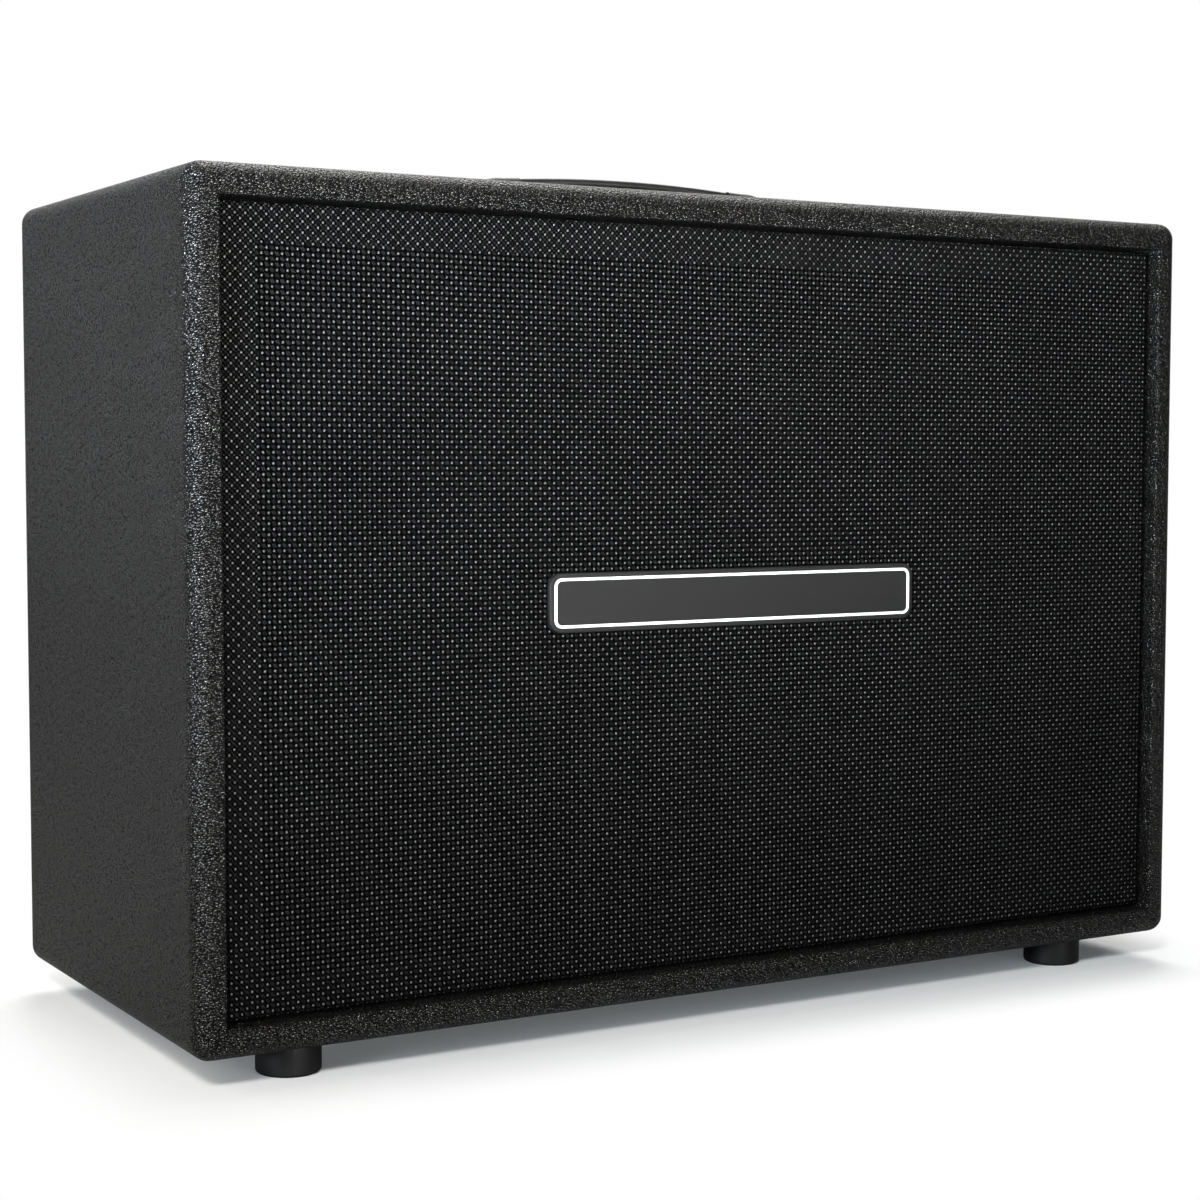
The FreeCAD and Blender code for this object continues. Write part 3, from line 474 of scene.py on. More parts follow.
def loftFaces(rings, cyclic, start):
    count = len(rings[0])
    faces = []
    for k in range(len(rings) if cyclic else len(rings) - 1):
        near = start + k * count
        far = start + ((k + 1) % len(rings)) * count
        for i in range(count):
            j = (i + 1) % count
            faces.append((near + i, near + j, far + j, far + i))
    if not cyclic:
        last = start + (len(rings) - 1) * count
        faces.append(tuple(start + i for i in reversed(range(count))))
        faces.append(tuple(last + i for i in range(count)))
    return faces


# several lofts gathered in one mesh, closed on themselves or capped
def loftSet(name, ringSets, cyclic=False, sharpAngle=40):
    points = []
    faces = []
    for rings in ringSets:
        faces += loftFaces(rings, cyclic, len(points))
        points += [p for ring in rings for p in ring]
    return meshFrom(name, points, faces, sharpAngle)


corner = dict(steps=8, ease=0.5 * mm, least=0.3 * mm)


# a rounded rectangle facing the front, with a point just off each end of its corner arcs
def rectRing(halfX, halfZ, radius, y, midZ):
    radius = max(radius, corner["least"])
    ring = []
    for k, (sx, sz) in enumerate(((1, 1), (-1, 1), (-1, -1), (1, -1))):
        centreX = sx * (halfX - radius)
        centreZ = midZ + sz * (halfZ - radius)
        arc = []
        for step in range(corner["steps"] + 1):
            angle = math.pi / 2 * (k + step / corner["steps"])
            arc.append(Vector((centreX + radius * math.cos(angle), y,
                               centreZ + radius * math.sin(angle))))
        first = math.pi / 2 * (k - 1)
        last = math.pi / 2 * (k + 2)
        ring.append(arc[0] + corner["ease"] * Vector((math.cos(first), 0, math.sin(first))))
        ring += arc
        ring.append(arc[-1] + corner["ease"] * Vector((math.cos(last), 0, math.sin(last))))
    return ring


# one rounded rectangle for each inset and depth on a path
def rectRings(halfX, halfZ, radius, path, midZ):
    return [rectRing(halfX - inset, halfZ - inset, radius - inset, y, midZ)
            for inset, y in path]


def quarter(steps, first=1):
    return [math.pi / 2 * k / steps for k in range(first, steps + 1)]


def arcPairs(centreA, centreB, radius, fromAngle, toAngle, steps):
    pairs = []
    for step in range(steps + 1):
        angle = math.radians(fromAngle + (toAngle - fromAngle) * step / steps)
        pairs.append((centreA + radius * math.cos(angle), centreB + radius * math.sin(angle)))
    return pairs


leastRadius = 0.02 * mm


# turned work: (radius, height) pairs about an axis through a seat
def lathe(profile, seat, axis, steps):
    axis = Vector(axis).normalized()
    side = axis.orthogonal().normalized()
    other = axis.cross(side)
    rings = []
    for radius, height in profile:
        ring = []
        for k in range(steps):
            angle = 2 * math.pi * k / steps
            out = side * math.cos(angle) + other * math.sin(angle)
            ring.append(Vector(seat) + axis * height + out * max(radius, leastRadius))
        rings.append(ring)
    return rings


# vinyl covering: a skin round the front rim, the outside and the back rim
def coverPath(skin):
    edge = shell["edge"] - skin
    arris = shell["arris"] - skin
    front = shell["front"] + skin
    back = shell["back"] - skin
    inner = shell["rim"] - skin
    ease = 0.6 * mm
    path = [(inner, shell["frontReturn"]), (inner, front + arris + ease)]
    path += arcPairs(inner - arris, front + arris, arris, 0, -90, steps=5)
    path += [(inner - arris - ease, front), (edge + skin + ease, front)]
    path += arcPairs(edge + skin, front + edge, edge, -90, -180, steps=10)
    path += [(skin, front + edge + ease), (skin, back - edge - ease)]
    path += arcPairs(edge + skin, back - edge, edge, 180, 90, steps=10)
    path += [(edge + skin + ease, back), (inner - arris - ease, back)]
    path += arcPairs(inner - arris, back - arris, arris, 90, 0, steps=5)
    return path + [(inner, back - arris - ease), (inner, shell["backReturn"])]


skinPath = coverPath(0.0) + coverPath(shell["skin"])[::-1]
skinRings = rectRings(shell["halfX"], shell["halfZ"], shell["edge"], skinPath, shell["midZ"])
dress(loftSet("vinylCovering", [skinRings], cyclic=True, sharpAngle=50),
      "cabinet", "black_vinyl", "vinyl_covering")

# the covering is slit at each inside corner of the rims, and one lip laps over the other
lap = dict(
    length=7.5 * mm, width=2.2 * mm, height=0.55 * mm, overhang=0.5 * mm, steps=10,
    leastWidth=0.05 * mm, leastHeight=0.02 * mm, fall=0.6, sunk=-0.3 * mm,
    section=((0.0, 0.75), (0.12, 1.0), (0.35, 0.8), (0.7, 0.35)))


def lapRings(cornerX, cornerZ, face, outward):
    mouthX = shell["halfX"] - shell["rim"]
    mouthZ = shell["halfZ"] - shell["rim"]
    tip = Vector((cornerX * mouthX, face, shell["midZ"] + cornerZ * mouthZ))
    along = Vector((cornerX, 0, cornerZ)).normalized()
    across = Vector((-cornerZ, 0, cornerX)).normalized() * (cornerX * cornerZ)
    rings = []
    for step in range(lap["steps"] + 1):
        share = step / lap["steps"]
        fade = math.sqrt(max(1 - share ** 2, 0.0))
        width = max(lap["width"] * fade, lap["leastWidth"])
        height = max(lap["height"] * (1 - share) ** lap["fall"], lap["leastHeight"])
        base = tip + along * (share * lap["length"] - lap["overhang"])
        section = [(s, height * h) for s, h in lap["section"]]
        section = [(0.0, lap["sunk"])] + section + [(1.0, lap["sunk"])]
        rings.append([base + across * (width * s) + Vector((0, outward * h, 0))
                      for s, h in section])
    return rings


lapSets = [lapRings(cornerX, cornerZ, face, outward)
           for face, outward in ((shell["front"], -1), (shell["back"], 1))
           for cornerX, cornerZ in fourCorners]
dress(loftSet("coveringLaps", lapSets), "cabinet", "black_vinyl")
print("covering made")

# grille cloth: stretched over the frame, round its edges and stapled down behind
cloth = dict(
    halfX=339.2 * mm, halfZ=226.7 * mm, front=-149 * mm, back=-135 * mm, edge=2.2 * mm, hem=18 * mm,
    thickness=0.9 * mm, columns=68, rows=46, slack=0.25 * mm, rail=22 * mm, stileHalf=11 * mm,
    ripple=0.06 * mm, rippleScale=45, rippleLayer=3.1, hemSteps=3, touch=1e-6)


# how far the cloth gives over the frame's two windows
def clothSlack(x, z):
    window = (cloth["halfX"] - cloth["rail"] - cloth["stileHalf"]) / 2
    centre = cloth["stileHalf"] + window
    shareX = max(0.0, 1 - ((abs(x) - centre) / window) ** 2)
    shareZ = max(0.0, 1 - (z / (cloth["halfZ"] - cloth["rail"])) ** 2)
    scale = cloth["rippleScale"]
    ripple = noise.noise(Vector((x * scale, cloth["rippleLayer"], z * scale)))
    return cloth["slack"] * shareX * shareZ + cloth["ripple"] * ripple


# the cloth's way off the face, as (reach out, depth, length run)
def clothWrap():
    edge, back = cloth["edge"], cloth["back"]
    turns = quarter(steps=6)
    wrap = [(edge * math.sin(a), cloth["front"] + edge * (1 - math.cos(a)), edge * a)
            for a in turns]
    sideLength = back - cloth["front"] - 2 * edge
    turned = edge * math.pi / 2
    run = turned + sideLength
    wrap.append((edge, back - edge, run))
    wrap += [(edge * math.cos(a), back - edge * (1 - math.sin(a)), run + edge * a) for a in turns]
    hemStep = (cloth["hem"] - edge) / cloth["hemSteps"]
    wrap += [(-hemStep * k, back, run + turned + hemStep * k)
             for k in range(1, cloth["hemSteps"] + 1)]
    return wrap


def clothMesh():
    columns, rows = cloth["columns"], cloth["rows"]
    innerX, innerZ = cloth["halfX"] - cloth["edge"], cloth["halfZ"] - cloth["edge"]
    points, flats, faces = [], [], []
    for row in range(rows + 1):
        for column in range(columns + 1):
            x = innerX * (2 * column / columns - 1)
            z = innerZ * (2 * row / rows - 1)
            points.append(Vector((x, cloth["front"] + clothSlack(x, z), shell["midZ"] + z)))
            flats.append((x, z, 0.0))

    def at(column, row):
        return row * (columns + 1) + column

    for row in range(rows):
        for column in range(columns):
            faces.append((at(column, row), at(column + 1, row),
                          at(column + 1, row + 1), at(column, row + 1)))
    border = [at(column, 0) for column in range(columns)]
    border += [at(columns, row) for row in range(rows)]
    border += [at(columns - column, rows) for column in range(columns)]
    border += [at(0, rows - row) for row in range(rows)]
    previous = border
    for out, y, run in clothWrap():
        ring = []
        for index in border:
            x, z = points[index].x, points[index].z - shell["midZ"]
            sx = (abs(abs(x) - innerX) < cloth["touch"]) * math.copysign(1, x)
            sz = (abs(abs(z) - innerZ) < cloth["touch"]) * math.copysign(1, z)
            ring.append(len(points))
            points.append(Vector((x + sx * out, y, shell["midZ"] + z + sz * out)))
            flats.append((x + sx * run, z + sz * run, 1.0))
        for k in range(len(border)):
            n = (k + 1) % len(border)
            faces.append((previous[k], previous[n], ring[n], ring[k]))
        previous = ring
    made = meshFrom("grilleCloth", points, faces, sharpAngle=60)
    flatAttribute = made.data.attributes.new("clothFlat", "FLOAT_VECTOR", "POINT")
    flatAttribute.data.foreach_set("vector", [value for flat in flats for value in flat])
    return made


# a piece's modifiers made part of its mesh
def applied(piece):
    depsgraph = bpy.context.evaluated_depsgraph_get()
    mesh = bpy.data.meshes.new_from_object(piece.evaluated_get(depsgraph))
    piece.modifiers.clear()
    piece.data = mesh


grilleCloth = clothMesh()
thick = grilleCloth.modifiers.new("thickness", "SOLIDIFY")
thick.thickness = cloth["thickness"]
thick.offset = -1
applied(grilleCloth)
clothFace = clothFinish("grilleWeave", clothLook, cloth["halfX"], cloth["halfZ"])
dress(grilleCloth, "grille", "grille_cloth", "grille_cloth", finish=clothFace)
print("grille cloth made")

# badge: a plain plate with a softened edge and a raised line round it
badge = dict(
    halfX=135 * mm, halfZ=18 * mm, corner=8 * mm, back=-149 * mm, face=-152 * mm, clear=0.1 * mm,
    soft=0.8 * mm, ease=0.4 * mm, line=3 * mm, lineWidth=1.8 * mm, lineTop=-152.6 * mm,
    lineSunk=0.2 * mm, lineSoft=0.25 * mm, lineRound=0.3, studX=105 * mm,
    stud=((1.6 * mm, 0.0), (1.6 * mm, 5.4 * mm), (0.96 * mm, 6 * mm)))


def platePath():
    soft, face = badge["soft"], badge["face"]
    path = [(0.0, badge["back"] + badge["clear"]), (0.0, face + soft)]
    path += [(soft - soft * math.cos(a), face + soft - soft * math.sin(a))
             for a in quarter(steps=5)]
    return path + [(soft + badge["ease"], face)]


def linePath():
    soft, top, low = badge["lineSoft"], badge["lineTop"], badge["face"] + badge["lineSunk"]
    part = soft * badge["lineRound"]
    outer, inner = badge["line"], badge["line"] + badge["lineWidth"]
    climb = [(0.0, low), (0.0, top + soft), (part, top + part), (soft, top)]
    return ([(outer + inset, y) for inset, y in climb]
            + [(inner - inset, y) for inset, y in reversed(climb)])


def badgeRings(path):
    return rectRings(badge["halfX"], badge["halfZ"], badge["corner"], path, shell["midZ"])


studs = [lathe(badge["stud"], (side * badge["studX"], badge["back"], shell["midZ"]), (0, 1, 0),
               steps=24) for side in sides]
dress(loftSet("badgePlate", [badgeRings(platePath())] + studs),
      "grille", "badge_black", "badge_plate")
dress(loftSet("badgeLine", [badgeRings(linePath())], cyclic=True),
      "grille", "badge_white", "badge_keyline")
print("badge made")

# rubber feet: a straight drum with a rounded foot and a washer's well
foot = dict(
    radius=19.25 * mm, height=20.5 * mm, soft=2.2 * mm, ease=1.5 * mm, well=8.5 * mm,
    wellDepth=11 * mm, wellSoft=0.8 * mm, mouthSoft=0.9 * mm, hole=2.6 * mm, neckLow=2.4 * mm,
    neckHigh=1.2 * mm, neckIn=0.25 * mm, x=289 * mm, y=116.5 * mm, screwZ=9.8 * mm)


def footProfile():
    soft, radius, height = foot["soft"], foot["radius"], foot["height"]
    well, deep = foot["well"], foot["wellDepth"]
    profile = [(foot["hole"], height), (foot["hole"], deep), (well - foot["wellSoft"], deep),
               (well, deep - foot["wellSoft"]), (well, foot["mouthSoft"]),
               (well + foot["mouthSoft"], 0.0), (radius - soft - foot["ease"], 0.0)]
    profile += arcPairs(radius - soft, soft, soft, -90, 0, steps=6)
    neck = radius - foot["neckIn"]
    return profile + [(radius, height - foot["neckLow"]), (neck, height - foot["neckHigh"]),
                      (neck, height)]


for end, sy in (("front", -1), ("rear", 1)):
    for hand, sx in (("left", -1), ("right", 1)):
        spot = "foot_" + end + "_" + hand
        drum = lathe(footProfile(), (sx * foot["x"], sy * foot["y"], 0), (0, 0, 1), steps=64)
        dress(loftSet(spot + "_drum", [drum], cyclic=True), "cabinet", "foot_rubber", spot)
print("feet made")

# strap handle: a stiff grip in the middle, and soft sleeves that run down into the hoods
strap = dict(
    top=515.5 * mm, mid=19.7 * mm, radius=1059.8 * mm, mouth=81 * mm, endMid=16.6 * mm, bend=9 * mm,
    bendSteps=8, ramp=50, width=24 * mm, thickness=2.2 * mm, thinEdge=0.42, end=120.393 * mm,
    gripHalf=52 * mm, gripSteps=24, sleeveHalf=80.3 * mm, sleeveSteps=20, gripWidth=27 * mm,
    gripThickness=5.2 * mm, edge=2.2 * mm, groove=9.4 * mm, grooveDepth=0.35 * mm, tongue=46 * mm,
    seam=0.08 * mm, grooveShape=((0.7, 0.0), (0.35, 0.7), (0.0, 1.0), (-0.35, 0.7), (-0.7, 0.0)))


def archPoint(x):
    return (x, strap["mid"] - strap["radius"] + math.sqrt(strap["radius"] ** 2 - x ** 2))


# the strap's middle line inside the hood: over the crest, down the ramp and out along the shell
def hoodLine():
    lean = math.asin(strap["mouth"] / strap["radius"])
    ramp, bend, steps = math.radians(strap["ramp"]), strap["bend"], strap["bendSteps"]
    low = strap["thickness"] / 2
    crest, toe = [], []
    for k in range(steps + 1):
        angle = lean + (ramp - lean) * k / steps
        crest.append((strap["mouth"] + bend * (math.sin(angle) - math.sin(lean)),
                      strap["endMid"] - bend * (math.cos(lean) - math.cos(angle))))
    topX, topZ = crest[-1]
    fall = topZ - low - bend * (1 - math.cos(ramp))
    toeX = topX + fall / math.tan(ramp) + bend * math.sin(ramp)
    for k in range(steps + 1):
        angle = ramp * (steps - k) / steps
        toe.append((toeX - bend * math.sin(angle), low + bend * (1 - math.cos(angle))))
    return crest + toe + [(strap["end"], low)]


# points round a soft-edged band, with a shallow groove along each side of its top
def bandSection(width, thickness, edge, groove=0.0):
    halfWidth, halfThick = width / 2, thickness / 2
    section = []
    for sideY, sideZ, first in ((1, -1, -90), (1, 1, 0), (-1, 1, 90), (-1, -1, 180)):
        section += arcPairs(sideY * (halfWidth - edge), sideZ * (halfThick - edge), edge,
                            first, first + 90, steps=5)
        if (sideY, sideZ) == (1, 1):
            section += [(side * strap["groove"] + offset * mm, halfThick - groove * depth)
                        for side in (1, -1) for offset, depth in strap["grooveShape"]]
    return section


# a section set square to the line at each of its points; a doubled point takes the run beyond it
def bandRings(line, sections):
    rings = []
    for k, (x, z) in enumerate(line):
        before, after = line[max(k - 1, 0)], line[min(k + 1, len(line) - 1)]
        if before == (x, z) and k > 1:
            before = line[k - 2]
        if after == (x, z) and k < len(line) - 2:
            after = line[k + 2]
        run = Vector((after[0] - before[0], after[1] - before[1])).normalized()
        up = Vector((-run.y, 0, run.x)) * (1 if run.x > 0 else -1)
        rings.append([Vector((x, 0, strap["top"] + z)) + Vector((0, y, 0)) + up * h
                      for y, h in sections[k]])
    return rings


def addHandle():
    soft = bandSection(strap["gripWidth"], strap["gripThickness"], strap["edge"],
                       strap["grooveDepth"])
    thin = bandSection(strap["width"], strap["thickness"], strap["thickness"] * strap["thinEdge"])
    half, steps = strap["gripHalf"], strap["gripSteps"]
    arch = [archPoint(half * k / steps) for k in range(-steps, steps + 1)]
    grip = loftSet("handleGrip", [bandRings(arch, [soft] * len(arch))])
    dress(grip, "handle", "strap_vinyl", "handle_grip")
    start, end, steps = half + strap["seam"], strap["sleeveHalf"], strap["sleeveSteps"]
    sleeve = [archPoint(start + (end - start) * k / steps) for k in range(steps + 1)]
    inside = [archPoint(strap["tongue"]), archPoint(start)]
    line = inside + sleeve + [archPoint(end)] + hoodLine()
    tail = len(line) - len(inside) - len(sleeve)
    sections = [thin] * len(inside) + [soft] * len(sleeve) + [thin] * tail
    for name, side in (("Left", -1), ("Right", 1)):
        rings = bandRings([(side * x, z) for x, z in line], sections)
        flank = loftSet("strapFlank" + name, [rings])
        flank.data.materials.append(finishes["strap_vinyl"])
        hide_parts("handle_strap")
        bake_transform(flank)


addHandle()
print("handle made")

# back board: covered like the shell, with its edges rolled over
backBoard = dict(
    halfX=341.1 * mm, halfZ=228.6 * mm, corner=1.2 * mm, front=134.5 * mm, back=149.5 * mm,
    roll=2.0 * mm, ease=0.6 * mm, openX=52.6 * mm, openZ=34.6 * mm, openCorner=7 * mm)
dish = dict(
    midZ=150.5 * mm, halfX=62 * mm, halfZ=44 * mm, corner=8 * mm, seat=149.5 * mm, face=152.5 * mm,
    bevel=0.9 * mm, ease=0.5 * mm, pocketX=49.5 * mm, pocketCorner=6 * mm, lip=1.3 * mm,
    draft=1.0 * mm, floor=124.5 * mm, fillet=2.6 * mm, wall=2.5 * mm, wallEase=2 * mm,
    wallLean=0.1 * mm, deepInset=13.5 * mm, jackX=22 * mm, hole=4.85 * mm, holeSteps=40)


def boardRings():
    roll, back = backBoard["roll"], backBoard["back"]
    outer = [(0.0, backBoard["front"]), (0.0, back - roll)]
    outer += [(roll - roll * math.cos(a), back - roll + roll * math.sin(a))
              for a in quarter(steps=6)]
    outer.append((roll + backBoard["ease"], back))
    opening = [rectRing(backBoard["openX"], backBoard["openZ"], backBoard["openCorner"], y,
                        dish["midZ"]) for y in (back, backBoard["front"])]
    return opening + [rectRing(backBoard["halfX"] - inset, backBoard["halfZ"] - inset,
                               backBoard["corner"], y, shell["midZ"]) for inset, y in outer]


dress(loftSet("backBoard", [boardRings()], cyclic=True, sharpAngle=50),
      "cabinet", "back_vinyl", "back_panel")


# the dish's section from the back of its floor, out and round its flange, and into the pocket
def dishPath():
    bevel, lip, fillet, wall = dish["bevel"], dish["lip"], dish["fillet"], dish["wall"]
    face, floor, seat, ease = dish["face"], dish["floor"], dish["seat"], dish["ease"]
    pocket = dish["halfX"] - dish["pocketX"]
    deep = pocket + dish["draft"]
    path = [(deep - wall + fillet, floor - wall), (deep - wall, floor - wall + fillet),
            (pocket - wall, seat), (0.0, seat), (0.0, face - bevel)]
    path += [(bevel - bevel * math.cos(a), face - bevel + bevel * math.sin(a))
             for a in quarter(steps=5)]
    path += [(bevel + ease, face), (pocket - lip - ease, face)]
    path += [(pocket - lip + lip * math.sin(a), face - lip + lip * math.cos(a))
             for a in quarter(steps=5, first=0)]
    path += [(pocket + dish["wallLean"], face - lip - dish["wallEase"]),
             (deep - dish["wallLean"], floor + fillet + dish["wallEase"])]
    path += [(deep + fillet - fillet * math.cos(a), floor + fillet - fillet * math.sin(a))
             for a in quarter(steps=6, first=0)]
    return path


# the points of a closed loop, each with the next
def around(loop):
    return list(zip(loop, loop[1:] + loop[:1]))


def addDish():
    form = bmesh.new()
    loops = []
    for inset, y in dishPath():
        share = min(1.0, inset / (dish["halfX"] - dish["pocketX"]))
        radius = (dish["corner"] + (dish["pocketCorner"] - dish["corner"]) * share
                  - max(0.0, inset - dish["deepInset"]))
        ring = rectRing(dish["halfX"] - inset, dish["halfZ"] - inset, radius, y, dish["midZ"])
        loops.append([form.verts.new(p) for p in ring])
    for near, far in zip(loops, loops[1:]):
        for (a, b), (c, d) in zip(around(near), around(far)):
            form.faces.new((a, b, d, c))
    holes = {side: [] for side in sides}
    for level, outline in ((dish["floor"] - dish["wall"], loops[0]), (dish["floor"], loops[-1])):
        edges = [form.edges.get(pair) for pair in around(outline)]
        for side in sides:
            seat = (side * dish["jackX"], level, dish["midZ"])
            ring = lathe([(dish["hole"], 0.0)], seat, (0, 1, 0), dish["holeSteps"])[0]
            loop = [form.verts.new(p) for p in ring]
            edges += [form.edges.new(pair) for pair in around(loop)]
            holes[side].append(loop)
        bmesh.ops.triangle_fill(form, edges=edges, use_beauty=True)
    for near, far in holes.values():
        for (a, b), (c, d) in zip(around(near), around(far)):
            form.faces.new((a, b, d, c))
    bmesh.ops.recalc_face_normals(form, faces=form.faces)
    mesh = bpy.data.meshes.new("jackDish")
    form.to_mesh(mesh)
    form.free()
    dress(placed("jackDish", mesh, sharpAngle=40), "cabinet", "dish_black", "jack_dish")


addDish()

# socket nuts: hexagons with their corners turned off, as (share of height, share of reach)
jackNut = dict(
    flats=13 * mm, low=124.5 * mm, high=126.9 * mm, bore=4.75 * mm, face=0.97, steps=72,
    flanks=((0.0, 0.955), (0.07, 0.98), (0.16, 1.0), (0.84, 1.0), (0.93, 0.98), (1.0, 0.955)))


def nutRing(centreX, centreZ, lift, limit, hexagon):
    half = jackNut["flats"] / 2
    y = jackNut["low"] + (jackNut["high"] - jackNut["low"]) * lift
    ring = []
    for k in range(jackNut["steps"]):
        angle = 2 * math.pi * k / jackNut["steps"]
        flat = half / math.cos(angle % (math.pi / 3) - math.pi / 6)
        radius = min(flat, limit) if hexagon else limit
        ring.append(Vector((centreX + radius * math.cos(angle), y,
                            centreZ + radius * math.sin(angle))))
    return ring


def nutRings(centreX, centreZ):
    half, bore = jackNut["flats"] / 2, jackNut["bore"]
    reach = half / math.cos(math.pi / 6)
    rings = [nutRing(centreX, centreZ, lift, reach * share, True)
             for lift, share in jackNut["flanks"]]
    return rings + [nutRing(centreX, centreZ, lift, radius, False)
                    for lift, radius in ((1.0, half * jackNut["face"]), (1.0, bore), (0.0, bore))]


nutSets = [nutRings(side * dish["jackX"], dish["midZ"]) for side in sides]
dress(loftSet("jackNuts", nutSets, cyclic=True, sharpAngle=25),
      "cabinet", slotOf["jack_nuts"], "jack_nuts")
print("back made")

# screws: domed heads with a cross recess
screwLook = dict(arm=0.15, reach=0.56, sink=0.8, taper=0.6, over=1.2, point=0.8, tip=0.5)


def crossHead(radius, height, shank, length):
    look = screwLook
    profile = [(radius * math.sin(a), height * math.cos(a)) for a in quarter(steps=6, first=0)]
    profile += [(shank, 0.0), (shank, -length * look["point"]), (shank * look["tip"], -length)]
    made = loftSet("crossHead", [lathe(profile, (0, 0, 0), (0, 0, 1), steps=28)])
    arm, reach = look["arm"] * radius, look["reach"] * radius
    levels = ((look["taper"], height * (1 - look["sink"])), (1.0, height * look["over"]))
    for along, across in ((reach, arm), (arm, reach)):
        rings = [[Vector((x * along * share, y * across * share, z))
                  for x, y in ((1, 1), (-1, 1), (-1, -1), (1, -1))] for share, z in levels]
        cutter = loftSet("crossCut", [rings])
        cut = made.modifiers.new("cut", "BOOLEAN")
        cut.operation = "DIFFERENCE"
        cut.object = cutter
        bpy.context.view_layer.update()
        applied(made)
        bpy.data.objects.remove(cutter)
    mesh = made.data
    bpy.data.objects.remove(made)
    return mesh


def addScrews(name, node, slotName, seats, axis, size):
    master = crossHead(*size)
    turn = random.Random(name)
    lift = Vector((0, 0, 1)).rotation_difference(Vector(axis)).to_matrix().to_4x4()
    points, faces = [], []
    for seat in seats:
        spin = Matrix.Rotation(turn.uniform(0, math.pi), 4, "Z")
        place = Matrix.Translation(seat) @ lift @ spin
        start = len(points)
        points += [place @ v.co for v in master.vertices]
        faces += [tuple(start + i for i in face.vertices) for face in master.polygons]
    dress(meshFrom(name, points, faces, sharpAngle=30), "cabinet", slotName, node)


boardScrew = dict(
    step=154.0575 * mm, rows=219.85 * mm, sideX=332.35 * mm, sideZ=109.925 * mm, dishX=55.75 * mm,
    dishZ=37.75 * mm, hoodX=108.993 * mm, hoodZ=523 * mm)
# head radius, head height, shank radius and length
screwSizes = dict(
    board=(4.0 * mm, 2.4 * mm, 2.0 * mm, 32 * mm), bolt=(5.0 * mm, 2.6 * mm, 2.5 * mm, 31 * mm),
    dish=(3.4 * mm, 2.0 * mm, 1.7 * mm, 15 * mm), foot=(4.8 * mm, 3.2 * mm, 2.4 * mm, 26 * mm),
    hood=(4.8 * mm, 3.0 * mm, 2.4 * mm, 27 * mm))


def boardSeats(y):
    midZ = shell["midZ"]
    seats = [Vector((k * boardScrew["step"], y, midZ + s * boardScrew["rows"]))
             for k in range(-2, 3) for s in sides]
    return seats + [Vector((sx * boardScrew["sideX"], y, midZ + sz * boardScrew["sideZ"]))
                    for sx, sz in fourCorners]


def boltSeats():
    seats = []
    for side in sides:
        for k in range(driver["bolts"]):
            angle = 2 * math.pi / driver["bolts"] * (k + 0.5)
            seats.append(Vector((side * driver["x"] + driver["boltCircle"] * math.cos(angle),
                                 shell["frontReturn"],
                                 driver["z"] + driver["boltCircle"] * math.sin(angle))))
    return seats


dishSeats = [Vector((sx * boardScrew["dishX"], dish["face"],
                     dish["midZ"] + sz * boardScrew["dishZ"])) for sx, sz in fourCorners]
footSeats = [Vector((sx * foot["x"], sy * foot["y"], foot["screwZ"])) for sx, sy in fourCorners]
hoodSeats = [Vector((sx * boardScrew["hoodX"], 0, boardScrew["hoodZ"])) for sx in sides]
screws = {
    "backScrews": ("back_screws", boardSeats(backBoard["back"]), (0, 1, 0), "board"),
    "baffleScrews": ("baffle_screws", boardSeats(shell["frontReturn"]), (0, -1, 0), "board"),
    "speakerBolts": ("speaker_bolts", boltSeats(), (0, -1, 0), "bolt"),
    "dishScrews": ("jack_dish_screws", dishSeats, (0, 1, 0), "dish"),
    "footScrews": ("foot_screws", footSeats, (0, 0, -1), "foot"),
    "handleScrews": ("handle_screws", hoodSeats, (0, 0, 1), "hood"),
}
for name, (node, seats, axis, size) in screws.items():
    addScrews(name, node, slotOf[node], seats, axis, screwSizes[size])
print("screws made")

# camera, matched to the photograph's viewing angle
view = dict(
    place=(-0.8031, -1.3520, 0.3598), yaw=30.34, pitch=-3.727, roll=0.06, lens=69.64, sensor=36,
    near=0.05)


def addCamera():
    yaw, pitch = math.radians(view["yaw"]), math.radians(view["pitch"])
    forward = Vector((math.sin(yaw) * math.cos(pitch), math.cos(yaw) * math.cos(pitch),
                      math.sin(pitch)))
    right = forward.cross(Vector((0, 0, 1))).normalized()
    up = right.cross(forward)
    roll = Matrix.Rotation(math.radians(view["roll"]), 4, "Z")
    turn = Matrix((right, up, -forward)).transposed().to_4x4() @ roll
    lens = bpy.data.cameras.new("camera")
    lens.lens = view["lens"]
    lens.sensor_width = view["sensor"]
    lens.clip_start = view["near"]
    camera = bpy.data.objects.new("camera", lens)
    camera.matrix_world = Matrix.Translation(view["place"]) @ turn
    scene.collection.objects.link(camera)
    scene.camera = camera


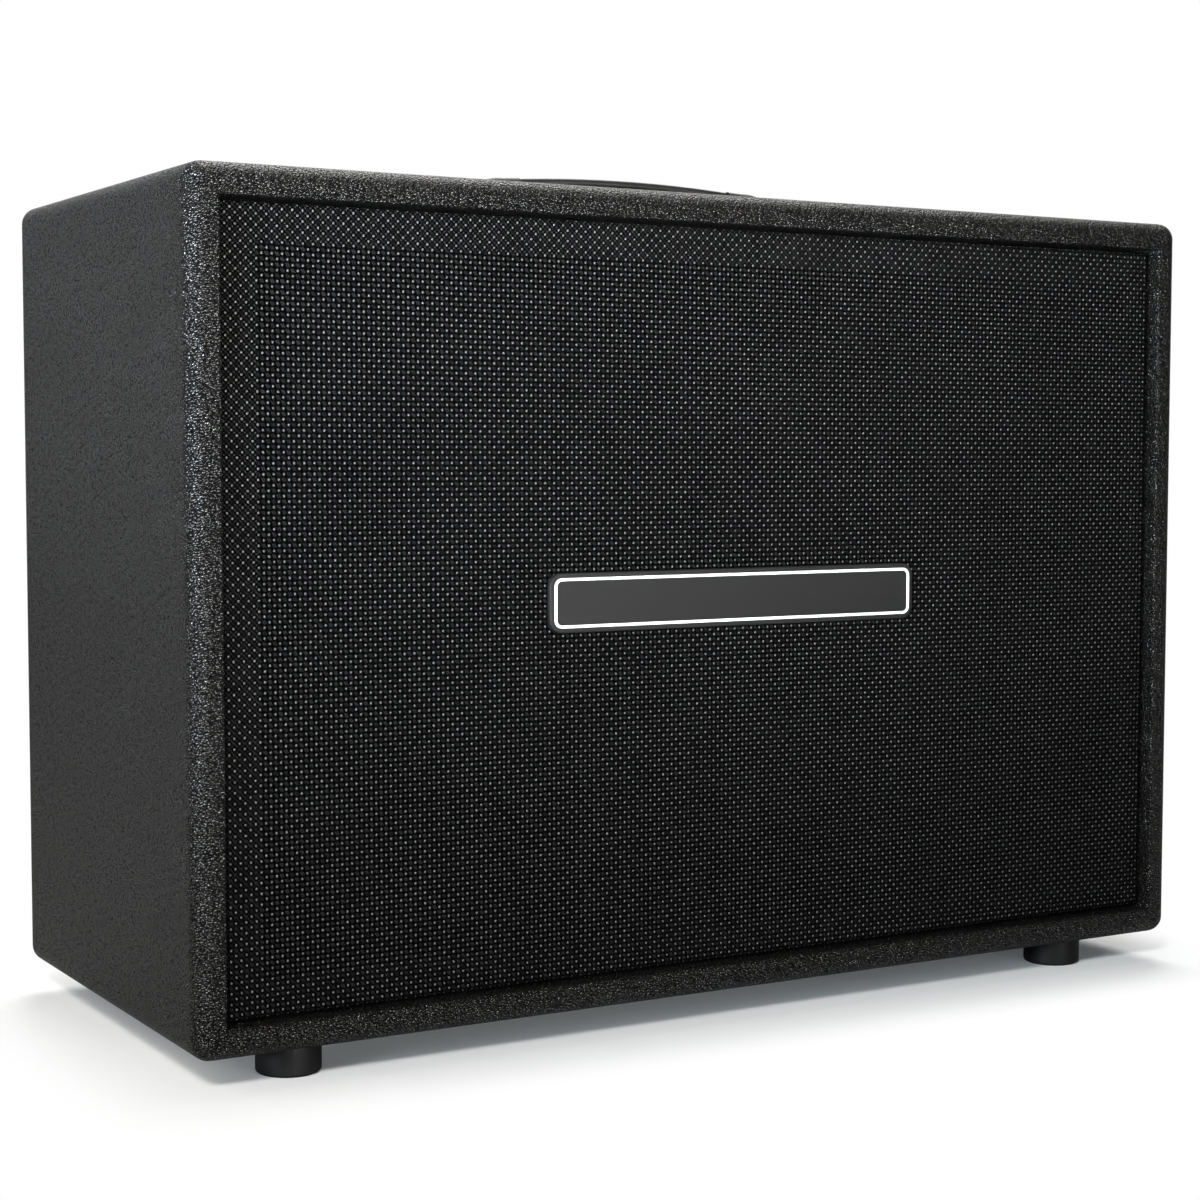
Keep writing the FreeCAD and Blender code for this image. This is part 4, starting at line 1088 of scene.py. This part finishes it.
# studio: soft boxes, a pale floor and a white surround
plainBox = dict(spread=180, tint=(1.0, 0.99, 0.97))
warmBox = dict(spread=180, tint=(1.0, 0.985, 0.96))
lights = {
    "keyBox": dict(warmBox, place=(-1.25, -1.58, 1.25), aim=(0, -0.15, 0.3), size=(0.3, 0.3),
                   power=36),
    "frontBox": dict(warmBox, place=(0.05, -1.95, 0.28), aim=(-0.2, -0.15, 0.66), size=(0.9, 0.42),
                     power=7, spread=50),
    "leftBox": dict(plainBox, place=(-2.0, -0.6, 1.0), aim=(0.0, -0.6, 0.8), size=(3.2, 1.7),
                    power=32, tint=(1.0, 0.97, 0.92)),
    "leftStrip": dict(place=(-1.68, -0.64, 0.36), aim=(-0.36, -0.157, 0.56), size=(0.9, 0.24),
                      power=11.5, spread=46, tint=(0.74, 0.88, 1.0)),
    "topBox": dict(plainBox, place=(0.2, 0.2, 2.5), aim=(0, 0, 0.3), size=(1.8, 1.4), power=10),
    "backBox": dict(plainBox, place=(0.9, 1.3, 2.4), aim=(0.1, 0.1, 0.3), size=(2.0, 1.4),
                    power=45),
}
floorLook = dict(
    half=14.0, colour=grey(0.95), bounce=grey(0.3), speck=0.05, speckBand=(0.2, 0.8, 0.97, 1.0),
    lift=0.07, glow=(0.86, 0.95, 1.0, 1.0), whiteBand=(0.0, 0.07))
surround = dict(fill=0.07, heading=(0.505, 0.863, 0.0), band=(0.72, 0.92))


def addLight(name, look):
    lamp = bpy.data.lights.new(name, "AREA")
    lamp.shape = "RECTANGLE"
    lamp.size, lamp.size_y = look["size"]
    lamp.energy = look["power"]
    lamp.color = look["tint"]
    lamp.spread = math.radians(look["spread"])
    made = bpy.data.objects.new(name, lamp)
    made.location = look["place"]
    made.rotation_mode = "QUATERNION"
    toward = Vector(look["aim"]) - Vector(look["place"])
    made.rotation_quaternion = toward.to_track_quat("-Z", "Y")
    made.visible_camera = False
    scene.collection.objects.link(made)


# the floor keeps the shadow near the cabinet, fades to white away from it, and is clear from below
def addFloor():
    half = floorLook["half"]
    points = [(-half, -half, 0), (half, -half, 0), (half, half, 0), (-half, half, 0)]
    made = meshFrom("studioFloor", points, [(0, 1, 2, 3)])
    material = bpy.data.materials.new("studioFloor")
    material.use_nodes = True
    board = Board(material.node_tree)
    board.tree.nodes.clear()
    path = board.node("ShaderNodeLightPath", {}, [], "Is Camera Ray")
    place = board.place()
    x, y = board.parts(place)[:2]
    outX = (abs(x) - shell["halfX"]).orMore(0.0)
    outY = (abs(y) - shell["back"]).orMore(0.0)
    away = (outX * outX + outY * outY).root().step(*floorLook["whiteBand"])
    speck = board.clouds(place, floorLook["speck"]).step(*floorLook["speckBand"])
    paint = board.mixColour(path * speck, floorLook["bounce"], floorLook["colour"])
    matt = board.node("ShaderNodeBsdfDiffuse", {}, {"Color": paint})
    shine = board.mixColour(path, grey(0.0), floorLook["glow"])
    glow = board.node("ShaderNodeEmission", {}, {"Color": shine, "Strength": floorLook["lift"]})
    white = board.node("ShaderNodeEmission", {}, {"Strength": 1.0})
    lit = board.node("ShaderNodeAddShader", {}, [matt, glow])
    above = board.node("ShaderNodeMixShader", {}, [away * path, lit, white])
    under = board.node("ShaderNodeNewGeometry", {}, [], "Backfacing")
    clear = board.node("ShaderNodeBsdfTransparent", {}, {})
    mixed = board.node("ShaderNodeMixShader", {}, [under, above, clear])
    board.join(mixed, board.tree.nodes.new("ShaderNodeOutputMaterial").inputs["Surface"])
    made.data.materials.append(material)


# white to the camera, and to reflections in the one direction where a white backdrop stands
def addSurround():
    world = bpy.data.worlds.new("surround")
    scene.world = world
    world.use_nodes = True
    board = Board(world.node_tree)
    sky = board.tree.nodes["Background"]
    sky.inputs["Color"].default_value = (1, 1, 1, 1)
    seen = board.node("ShaderNodeLightPath", {}, [], "Is Camera Ray")
    ray = seen.socket.node.outputs
    glossy = Wire(board, ray["Is Glossy Ray"])
    mirrored = glossy.orMore(Wire(board, ray["Is Transmission Ray"]))
    heading = board.node("ShaderNodeTexCoord", {}, [], "Generated")
    ahead = board.node("ShaderNodeVectorMath", {"operation": "DOT_PRODUCT"},
                       [heading, surround["heading"]], "Value")
    white = seen.orMore(mirrored * ahead.step(*surround["band"]))
    board.join(white.between(surround["fill"], 1.0), sky.inputs["Strength"])


scene.view_settings.view_transform = "Standard"
addCamera()
for name, look in lights.items():
    addLight(name, look)
addFloor()
addSurround()
print("studio made")
